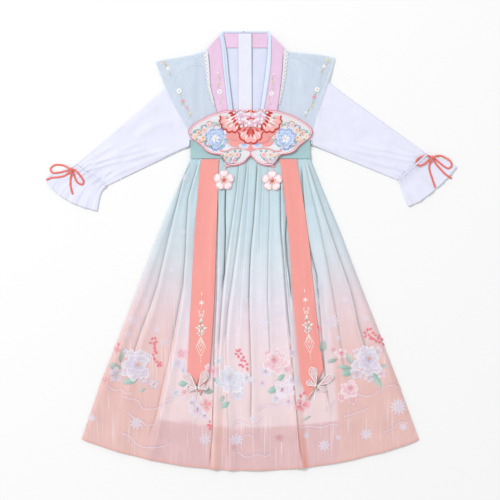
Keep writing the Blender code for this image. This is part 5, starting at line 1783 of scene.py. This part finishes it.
def make_ribbon_embroidery(silk):
    """A column of white stitches on each ribbon: a star, curls, a blossom, diamonds and dots.
    The grey at the roots of their leaves and petals is painted shade.
    """
    work = Needlework("ribbon_embroidery", lift=0.0002, reach=1)
    # White thread, and the grey it is drawn in where painted shade falls on it
    white, white_in_shade = "#FFFDF8", "#D8D2CE"
    for top, bottom in (((202.0, 293), (200.8, 362)), ((304.2, 290), (310.6, 360))):
        start, end = np.array(spot(*top)), np.array(spot(*bottom))
        down = (end - start) / np.hypot(*(end - start))
        across = np.array([-down[1], down[0]])

        def at(s, t=0.0):
            """A place on the column: metres down it and across it."""
            return tuple(start + down * s + across * t)

        heading = math.atan2(down[1], down[0])
        work.stitch([at(-0.002), at(0.005)], 0.0016, white, smooth=False)
        work.stitch([at(0.009), at(0.013)], 0.0012, white_in_shade, smooth=False)
        for k in range(3):
            angle = heading + math.pi * k / 3
            tip = np.array([math.cos(angle), math.sin(angle)]) * 0.0062
            middle = np.array(at(0.022))
            work.stitch([tuple(middle - tip), tuple(middle + tip)], 0.0016, white, smooth=False)
        for k in range(2):
            work.disc(*at(0.0315 + 0.0035 * k), 0.0010, white, 0.0006, sides=7)
        for sign in (-1, 1):
            work.stitch([at(0.050), at(0.046, sign * 0.0050), at(0.0405, sign * 0.0058),
                         at(0.0415, sign * 0.0020)], 0.0014, white, 0.0005)
            work.leaf(*at(0.056), heading + math.pi + sign * 0.7, 0.0080, 0.0030, white_in_shade, white)
        work.leaf(*at(0.068), heading + math.pi, 0.0110, 0.0066, "#C6CAC4", white, 0.0009)
        work.leaf(*at(0.071), heading + math.pi + 0.55, 0.0100, 0.0042, "#8F9184", "#E9E5DC",
                  0.0008)
        for sign in (-1, 1):
            work.leaf(*at(0.082, sign * 0.005), heading + sign * 2.0, 0.0092, 0.0036, white_in_shade, white,
                      0.0007)
        work.lift += 0.0002
        for s, t, radius, turn in ((0.080, 0.0010, 0.0098, 0.3), (0.092, -0.0026, 0.0072, 1.0),
                                   (0.089, 0.0040, 0.0050, 0.6)):
            for k in range(5):
                work.fan(*at(s, t), turn + heading + math.tau * k / 5, radius, 0.44, "#C9BDB8",
                         "#FFFFFF", "#FFFFFF", 0.0009, 2, 0.12, 0.08)
            work.disc(*at(s, t), 0.18 * radius, "#E9C9A0", 0.0014, sides=7)
        work.lift -= 0.0002
        for half, length, middle in ((0.0105, 0.0225, 0.122), (0.0066, 0.0150, 0.118),
                                     (0.0030, 0.0075, 0.114)):
            corners = [at(middle - length), at(middle, half), at(middle + length),
                       at(middle, -half), at(middle - length)]
            for a, b in zip(corners, corners[1:]):
                dashes(work, np.array([a, b]), 0.0030, 0.0013, white, fill=0.80)
        for k in range(4):
            work.disc(*at(0.149 + 0.0052 * k), 0.0012 - 0.00012 * k, white, 0.0005, sides=7)
    work.make(silk, "ribbon_satin")


# Print on the skirt

PEONIES = [
    # px     py     radius  turn  tones
    (135.0, 365.0, 0.0400, 0.2, "lilac"),
    (367.0, 361.0, 0.0370, 0.9, "lilac"),
    (229.5, 379.0, 0.0350, 1.7, "pale"),
    (275.5, 361.5, 0.0330, 2.4, "pink"),
    (348.5, 389.0, 0.0290, 0.6, "pink"),
    (284.5, 389.5, 0.0270, 3.0, "lilac pink"),
]
PEONY_TONES = {
    # base, tip and rim of the petals, then the heart
    "lilac": ("#CAC3DF", "#E6E1F1", "#F8F6FC", "#F2A988"),
    "pale": ("#D3D7EE", "#EAECF8", "#FBFBFE", "#E9DCE8"),
    "pink": ("#F5A9BB", "#FADCE5", "#FFFDFE", "#EE7F92"),
    "lilac pink": ("#E8CFE6", "#F5EAF6", "#FEFCFF", "#EF8FA0"),
}
BLOSSOMS = [
    # px     py     radius  petals base       tip        heart
    (116.5, 374.5, 0.0200, 5, "#CFC8E0", "#E6E0EE", "#E9C7BE"),
    (143.5, 378.0, 0.0150, 6, "#F6F1F8", "#D9D3EA", "#F2A078"),
    (153.8, 383.8, 0.0140, 6, "#F6F1F8", "#D5CFE8", "#F2A078"),
    (105.5, 379.0, 0.0110, 5, "#F08E98", "#F7C9CE", "#F3E3EA"),
    (181.5, 353.0, 0.0150, 5, "#F08EA4", "#F9DCE6", "#FFF6FA"),
    (178.0, 363.0, 0.0150, 5, "#D5CDEA", "#EDE8F6", "#F1D3DC"),
    (183.5, 369.5, 0.0110, 5, "#D9D3EC", "#EFECF8", "#F1D3DC"),
    (185.0, 391.5, 0.0120, 5, "#F3A9B4", "#FBE6EC", "#F8C9CE"),
    (176.0, 392.5, 0.0100, 5, "#CBD2EC", "#E6EAF6", "#E9C7BE"),
    (197.5, 409.5, 0.0200, 5, "#E3CDE8", "#F3EAF6", "#F1A6B4"),
    (206.5, 404.0, 0.0180, 4, "#F07F88", "#F9C6CC", "#FBE6EA"),
    (211.5, 371.0, 0.0200, 4, "#F5A9B8", "#F7DCE6", "#FBE6EA"),
    (237.5, 394.5, 0.0160, 5, "#D3D6EE", "#EDEEF8", "#E6DCE8"),
    (265.5, 371.5, 0.0150, 5, "#DCD3EE", "#F0ECF8", "#EFC4CC"),
    (301.0, 405.0, 0.0200, 4, "#EC5F72", "#F9BEC6", "#FDEFF2"),
    (341.0, 353.0, 0.0150, 5, "#F3A4B8", "#FFF8FA", "#EE8098"),
    (356.5, 373.0, 0.0170, 5, "#CFC9E2", "#E9E4F2", "#E9C7BE"),
    (380.5, 372.5, 0.0130, 5, "#D9C9DE", "#F0E6F0", "#EBC9C0"),
    (352.5, 399.5, 0.0120, 5, "#F08CA0", "#FBE0E8", "#FFF6FA"),
    (117.5, 348.8, 0.0090, 4, "#EE8A9C", "#F5B9C2", "#F7D3D8"),
    (318.5, 330.5, 0.0080, 4, "#EE8A9C", "#F5B9C2", "#F7D3D8"),
    (292.5, 352.0, 0.0110, 5, "#E3CDE8", "#F0EAF8", "#EFC4CC"),
    (147.5, 357.0, 0.0140, 5, "#D5CDEA", "#EEEAF7", "#F1D3DC"),
    (126.5, 352.5, 0.0110, 5, "#DCD3EE", "#F2EEF9", "#EFC4CC"),
    (219.5, 360.5, 0.0120, 5, "#DCE0F3", "#F3F5FB", "#E6DCE8"),
    (246.5, 377.5, 0.0150, 5, "#D9DCF1", "#F1F2FA", "#E6DCE8"),
    (241.0, 385.5, 0.0120, 5, "#DCD3EE", "#F2EEF9", "#EFC4CC"),
    (287.0, 369.0, 0.0140, 5, "#F2A6BA", "#FBE3EA", "#FFF6FA"),
    (268.5, 353.5, 0.0120, 5, "#F2A6BA", "#FBE3EA", "#FFF6FA"),
    (292.0, 380.0, 0.0150, 5, "#E0D6F0", "#F4F0FA", "#EFC4CC"),
    (276.0, 398.0, 0.0150, 5, "#DDD8F0", "#F3F0FA", "#EFC4CC"),
    (288.5, 401.0, 0.0110, 5, "#E3CDE8", "#F3EAF6", "#F1A6B4"),
    (262.5, 382.5, 0.0110, 5, "#E3CDE8", "#F3EAF6", "#F1A6B4"),
    (357.0, 352.0, 0.0120, 5, "#D9D3EC", "#F1EEF8", "#F1D3DC"),
    (377.5, 351.5, 0.0130, 5, "#D5CDE6", "#EFEAF5", "#F1D3DC"),
    (369.0, 377.0, 0.0140, 5, "#D5CDE6", "#EFEAF5", "#F1D3DC"),
    (341.5, 396.5, 0.0130, 5, "#F2A6BA", "#FBE3EA", "#FFF6FA"),
    (333.0, 349.5, 0.0100, 5, "#F2A6BA", "#FBE3EA", "#FFF6FA"),
    (192.5, 402.5, 0.0140, 5, "#DDD3EE", "#F3EFF9", "#F1A6B4"),
    (204.5, 415.5, 0.0120, 5, "#E3CDE8", "#F3EAF6", "#F1A6B4"),
    (234.0, 447.0, 0.0110, 5, "#E6B7BC", "#E9C6CC", "#E3B0B4"),
    (279.0, 437.0, 0.0110, 5, "#DE9FA4", "#E4B3B8", "#DE9A9E"),
]
PRINT_LEAVES = [
    # px     py     degrees length width  tint
    (121.5, 367.5, 165, 0.0240, 0.0130, 0),
    (120.0, 371.5, 205, 0.0190, 0.0090, 0),
    (121.0, 362.5, 95, 0.0240, 0.0080, 0),
    (138.0, 377.5, -150, 0.0290, 0.0130, 2),
    (146.0, 388.0, -160, 0.0130, 0.0070, 1),
    (187.5, 383.0, 185, 0.0170, 0.0120, 2),
    (213.5, 390.5, 190, 0.0190, 0.0110, 0),
    (216.5, 383.0, 100, 0.0140, 0.0060, 2),
    (229.5, 401.0, -140, 0.0200, 0.0100, 2),
    (224.0, 395.0, -110, 0.0150, 0.0080, 1),
    (284.5, 374.5, -150, 0.0180, 0.0100, 2),
    (278.0, 388.0, 190, 0.0200, 0.0130, 2),
    (319.5, 350.5, 70, 0.0210, 0.0110, 0),
    (323.5, 350.5, 80, 0.0160, 0.0080, 1),
    (337.0, 359.0, 195, 0.0190, 0.0080, 0),
    (353.0, 366.0, 105, 0.0260, 0.0110, 1),
    (351.5, 368.0, 165, 0.0270, 0.0080, 2),
    (352.5, 370.5, -155, 0.0220, 0.0140, 2),
    (372.5, 370.0, -80, 0.0340, 0.0120, 2),
    (380.0, 366.0, 20, 0.0130, 0.0070, 1),
    (122.0, 353.0, 50, 0.0130, 0.0060, 1),
    (311.0, 415.5, 200, 0.0200, 0.0050, 1),
]
LEAF_TINTS = [("#93B3AC", "#BFD2CC"), ("#A9C4BD", "#D2E0DB"), ("#84C4B6", "#B9DED5")]
RED_PETALS = [
    # px     py     degrees of the small petals scattered in strings
    (152.5, 338.5, 60), (155.5, 338.0, 110), (150.8, 342.5, 190), (154.5, 343.5, -60),
    (156.3, 341.5, 10), (155.0, 347.5, -80), (156.5, 352.5, 40), (153.5, 354.5, 120),
    (154.8, 358.5, -70), (157.2, 361.5, 200), (160.5, 362.5, 20), (158.5, 365.0, -120),
    (155.3, 350.2, 250), (161.2, 365.2, 60),
    (237.0, 350.5, 130), (239.5, 349.8, 60), (236.0, 353.5, 200), (240.8, 353.2, 0),
    (238.3, 356.0, -80), (243.3, 357.0, 40), (241.5, 360.0, 120), (244.8, 360.5, -30),
    (240.2, 364.5, 190), (242.8, 366.0, -60), (246.8, 364.0, 20), (247.2, 368.5, -80),
    (364.5, 332.5, 130), (367.0, 329.5, 80), (370.0, 328.6, 20), (365.0, 336.0, 220),
    (368.3, 334.5, -50), (372.5, 332.5, 30), (375.0, 334.8, -20), (372.3, 338.5, 190),
    (375.5, 340.5, -60), (379.0, 336.0, 60), (381.8, 339.0, -40), (379.2, 341.8, 200),
    (383.2, 344.0, -70), (370.2, 337.4, 240), (377.6, 338.0, 90),
    (209.8, 421.0, 100), (208.6, 424.5, 200), (211.0, 425.0, -40), (210.0, 428.0, -90),
    (300.5, 395.5, 100), (304.0, 392.5, 40), (118.8, 344.0, 80), (317.8, 326.6, 90),
]
DAISIES = [
    # px     py     radius
    (133.4, 320.0, 0.0130), (128.2, 334.0, 0.0100), (157.6, 329.7, 0.0095), (165.0, 342.0, 0.0115),
    (182.0, 317.6, 0.0110), (136.2, 423.0, 0.0150), (92.7, 417.6, 0.0095), (205.0, 439.0, 0.0140),
    (236.5, 439.0, 0.0150), (253.0, 418.0, 0.0090), (332.2, 321.3, 0.0185), (264.0, 322.5, 0.0130),
    (278.7, 312.8, 0.0110), (366.0, 433.5, 0.0145), (324.0, 445.0, 0.0140), (338.0, 437.0, 0.0070),
    (306.0, 435.0, 0.0080), (403.0, 426.5, 0.0100), (398.0, 406.0, 0.0210), (253.0, 380.5, 0.0080),
    (241.0, 264.0, 0.0110), (190.0, 215.0, 0.0070), (172.0, 270.0, 0.0090), (338.0, 338.0, 0.0080),
    (365.5, 318.0, 0.0100), (146.0, 300.0, 0.0090), (245.0, 300.0, 0.0090), (320.0, 285.0, 0.0100),
    (277.0, 240.0, 0.0080), (345.0, 300.0, 0.0080), (186.5, 178.0, 0.0110), (183.0, 232.0, 0.0090),
]
CLOUDS = [
    [(108, 385), (115, 390), (122, 389), (126, 393), (133, 392)],
    [(123, 396), (130, 398), (138, 400), (142, 407), (150, 409), (160, 407), (168, 403)],
    [(128, 412), (134, 417), (141, 420), (147, 425), (154, 424)],
    [(122, 433), (130, 436), (136, 443), (144, 447), (156, 447), (166, 445), (169, 440)],
    [(165, 400), (173, 399), (180, 396), (188, 399)],
    [(232, 424), (240, 421), (248, 425), (256, 424), (262, 419)],
    [(228, 438), (240, 437), (248, 434), (254, 437)],
    [(238, 452), (247, 457), (256, 454), (266, 456), (271, 452)],
    [(258, 409), (266, 405), (274, 407), (282, 403)],
    [(325, 409), (331, 405), (337, 400), (343, 401)],
    [(344, 416), (352, 414), (360, 411), (367, 408)],
    [(357, 393), (364, 396), (372, 395), (378, 390)],
    [(381, 392), (386, 386), (394, 385), (401, 390)],
    [(300, 427), (310, 426), (322, 427), (330, 424), (338, 424)],
    [(384, 432), (392, 428), (399, 422), (408, 423)],
]


def inside_skirt(x, y, margin):
    return side(1, y) + margin < x < side(2, y) - margin and y > hem_y(x) + margin


def print_peony(work, x, y, radius, turn, tones):
    """A full peony: ruffled petals of uneven length, ring over ring, off its middle."""
    base, tip, rim, heart = PEONY_TONES[tones]
    for count, share, spread_by, shift, strength in (
            (7, 1.00, 0.50, 0.00, 0.80), (6, 0.74, 0.55, 0.10, 0.86), (5, 0.48, 0.62, 0.16, 0.92)):
        work.strength = strength
        for k in range(count):
            angle = turn + share + math.tau * k / count + draw.uniform(-0.22, 0.22)
            work.fan(x + shift * radius * math.cos(turn), y + shift * radius * math.sin(turn),
                     angle, radius * share * draw.uniform(0.74, 1.12), spread_by, base, tip, rim,
                     0.0, draw.choice((2, 3, 4)), 0.11, 0.07, 0.10, 0.30)
            work.lift += 0.00001
    work.strength = 0.9
    hx, hy = x + 0.2 * radius * math.cos(turn), y + 0.2 * radius * math.sin(turn)
    for k in range(9):
        angle = turn + draw.uniform(-2.2, 2.2)
        work.leaf(hx, hy, angle, radius * draw.uniform(0.14, 0.26), radius * 0.09, heart,
                  "#F8DCCB", 0.0)
    work.lift -= 0.00018


def make_print():
    """Flowers, leaves, daisies and cloud lines dyed on the skirt, at the cloth's own texture."""
    dye = cloth("skirt_print", rough=0.72, sheen=0.35, weave=0.22, slub=0.035, clear=0.95)
    work = Needlework("skirt_print", lift=0.00035)
    # The print takes the skirt's colour under it, with its painted fold shade and light.
    work.ground_dye_and_shade = skirt_dye_and_fold_shade

    for line in CLOUDS:
        points = smooth_line([spot(*p) for p in line], 6)
        work.strength = 0.62
        work.stitch(points, 0.0021, "#F1E7F5", 0.0, smooth=False)
        work.strength = 0.40
        work.stitch(points + [0.001, 0.0040], 0.0011, "#CDB6D6", 0.0, smooth=False)
        work.stitch(points[: len(points) // 2] - [0.002, 0.0040], 0.0026, "#D6C2DE", 0.0,
                    taper=True, smooth=False)
    work.lift += 0.0001
    for px, py, radius in DAISIES:
        x, y = spot(px, py)
        work.strength = 0.45 if py < 345 else 0.70
        petals = 12 if radius > 0.017 else 8
        if inside_skirt(x, y, 0.8 * radius):
            work.flower(x, y, radius, petals, "#E3DFF4", "#F4F0FB", "#EFE3EE", 0.0,
                        turn=draw.uniform(0, 1), width=0.50, notch=0.0, blunt=0.9,
                        heart_size=0.12)
    for px, py, degrees, length, width, tint in PRINT_LEAVES:
        low, high = LEAF_TINTS[tint]
        work.strength = 0.85
        work.leaf(*spot(px, py), math.radians(degrees), 1.25 * length, 1.2 * width, low, high, 0.0,
                  bend=draw.uniform(-0.25, 0.25), cells=(8, 12), half_tone=0.16)
    work.lift += 0.0001
    for px, py, radius, petals, base, tip, heart in BLOSSOMS:
        x, y = spot(px, py)
        turn = draw.uniform(0, 1.2)
        work.strength = 0.82
        for k in range(petals):
            angle = turn + math.tau * k / petals + draw.uniform(-0.16, 0.16)
            work.fan(x, y, angle, radius * draw.uniform(0.78, 1.1), 0.62 * math.pi / petals * 1.5,
                     base, tip, tip, 0.0, draw.choice((2, 3)), 0.10, 0.05, 0.08, 0.34)
        work.strength = 0.90
        for k in range(5):
            angle = turn + draw.uniform(0, math.tau)
            work.leaf(x, y, angle, 0.30 * radius, 0.12 * radius, heart, heart, 0.0)
    work.lift += 0.0001
    for px, py, radius, turn, tones in PEONIES:
        print_peony(work, *spot(px, py), radius, turn, tones)
    work.lift += 0.0002
    work.strength = 0.92
    for px, py, degrees in RED_PETALS:
        length = draw.uniform(0.0074, 0.0102)
        angle = math.radians(degrees)
        x, y = spot(px, py)
        work.leaf(x - 0.5 * length * math.cos(angle), y - 0.5 * length * math.sin(angle), angle,
                  length, 0.62 * length, "#F4667B", "#F78C9C", 0.0, blunt=1.3)
    work.make(dye, "skirt_chiffon")


# Ties


def tie_line(knot, start, route, end):
    def at_knot(degrees):
        angle = math.radians(degrees)
        return (knot[0] + KNOT_REACH * math.cos(angle), knot[1] + KNOT_REACH * math.sin(angle))

    return smooth_line([at_knot(start), *route] + ([] if end is None else [at_knot(end)]), 8)


def make_ties():
    """A satin ribbon bow on each cuff: two loops, two loose tails and a knot."""
    satin = cloth("tie_satin", "#EC7263", rough=0.35, slub=0.02, satin=0.4, specular=0.5,
                  thread=0.0005, weave=0.2, mottle=0.05)
    for hand, shape in TIES.items():
        knot = shape["knot"]
        for part in ("loop_out", "loop_in", "tail_out", "tail_in"):
            line = tie_line(knot, *shape[part])
            t = np.linspace(1, -1, 7)[None, :] * TIE_WIDTH / 2
            x, y = strip(line, t)
            low = read(spread(3), line[:, 0], line[:, 1])
            low = np.where(low > 0, low + GAP, 0.0002) + TIE_WALL
            low = np.convolve(np.pad(low, 3, "edge"), np.ones(7) / 7, "valid")
            low = np.maximum(low, read(spread(3), line[:, 0], line[:, 1]) + GAP + TIE_WALL)
            z = low[:, None] - 0.0004 * (t / t.max()) ** 2
            z = np.broadcast_to(z, x.shape).copy()
            name = "tie_" + hand + "_" + part
            piece = shell(name + "_ribbon", x, y, z, TIE_WALL * 0.6)
            press(x, y, z)
            finish(piece, satin, "tie_satin", name)
        mesh = bpy.data.meshes.new("tie_" + hand + "_knot_wrap")
        work = bmesh.new()
        bmesh.ops.create_uvsphere(work, u_segments=28, v_segments=18, radius=KNOT)
        base = float(read(spread(3), *knot))
        for v in work.verts:
            turn = math.atan2(v.co.y, v.co.x)
            v.co *= 1 + 0.07 * math.sin(4 * turn + 6 * v.co.z / KNOT)
            v.co.z *= KNOT_FLATNESS * 0.85
        bmesh.ops.translate(work, verts=work.verts, vec=(*knot, base + KNOT_FLATNESS * KNOT))
        uv = work.loops.layers.uv.new("cloth")
        for face in work.faces:
            for loop in face.loops:
                loop[uv].uv = loop.vert.co.xy
        work.to_mesh(mesh)
        work.free()
        mesh.shade_smooth()
        finish(put(mesh.name, mesh), satin, "tie_satin", "tie_" + hand + "_knot")


make_stage()
make_skirt()
organza = cloth("vest_organza", "#E8F3FF", rough=0.45, sheen=0.3, slub=0.03, clear=0.55)
blouse = cloth("blouse_chiffon", "#EAEBFC", rough=0.85, sheen=0.3, slub=0.015, weave=0.3)
band = cloth("waistband_cloth", "#A8CACD", rough=0.75, slub=0.03)
make_back()
make_sleeves()
make_fronts()
make_collar()
make_lace()
make_waistband("waistband_front", (120, 16), True)
make_ribbons()
silk = thread_material("embroidery_silk")
make_ties()
make_print()
make_bodice_sprigs(silk)
make_seams(silk)
make_ribbon_embroidery(silk)
make_butterfly(silk)
make_rosettes(silk)
make_pendants(silk)
make_small_butterflies(silk)
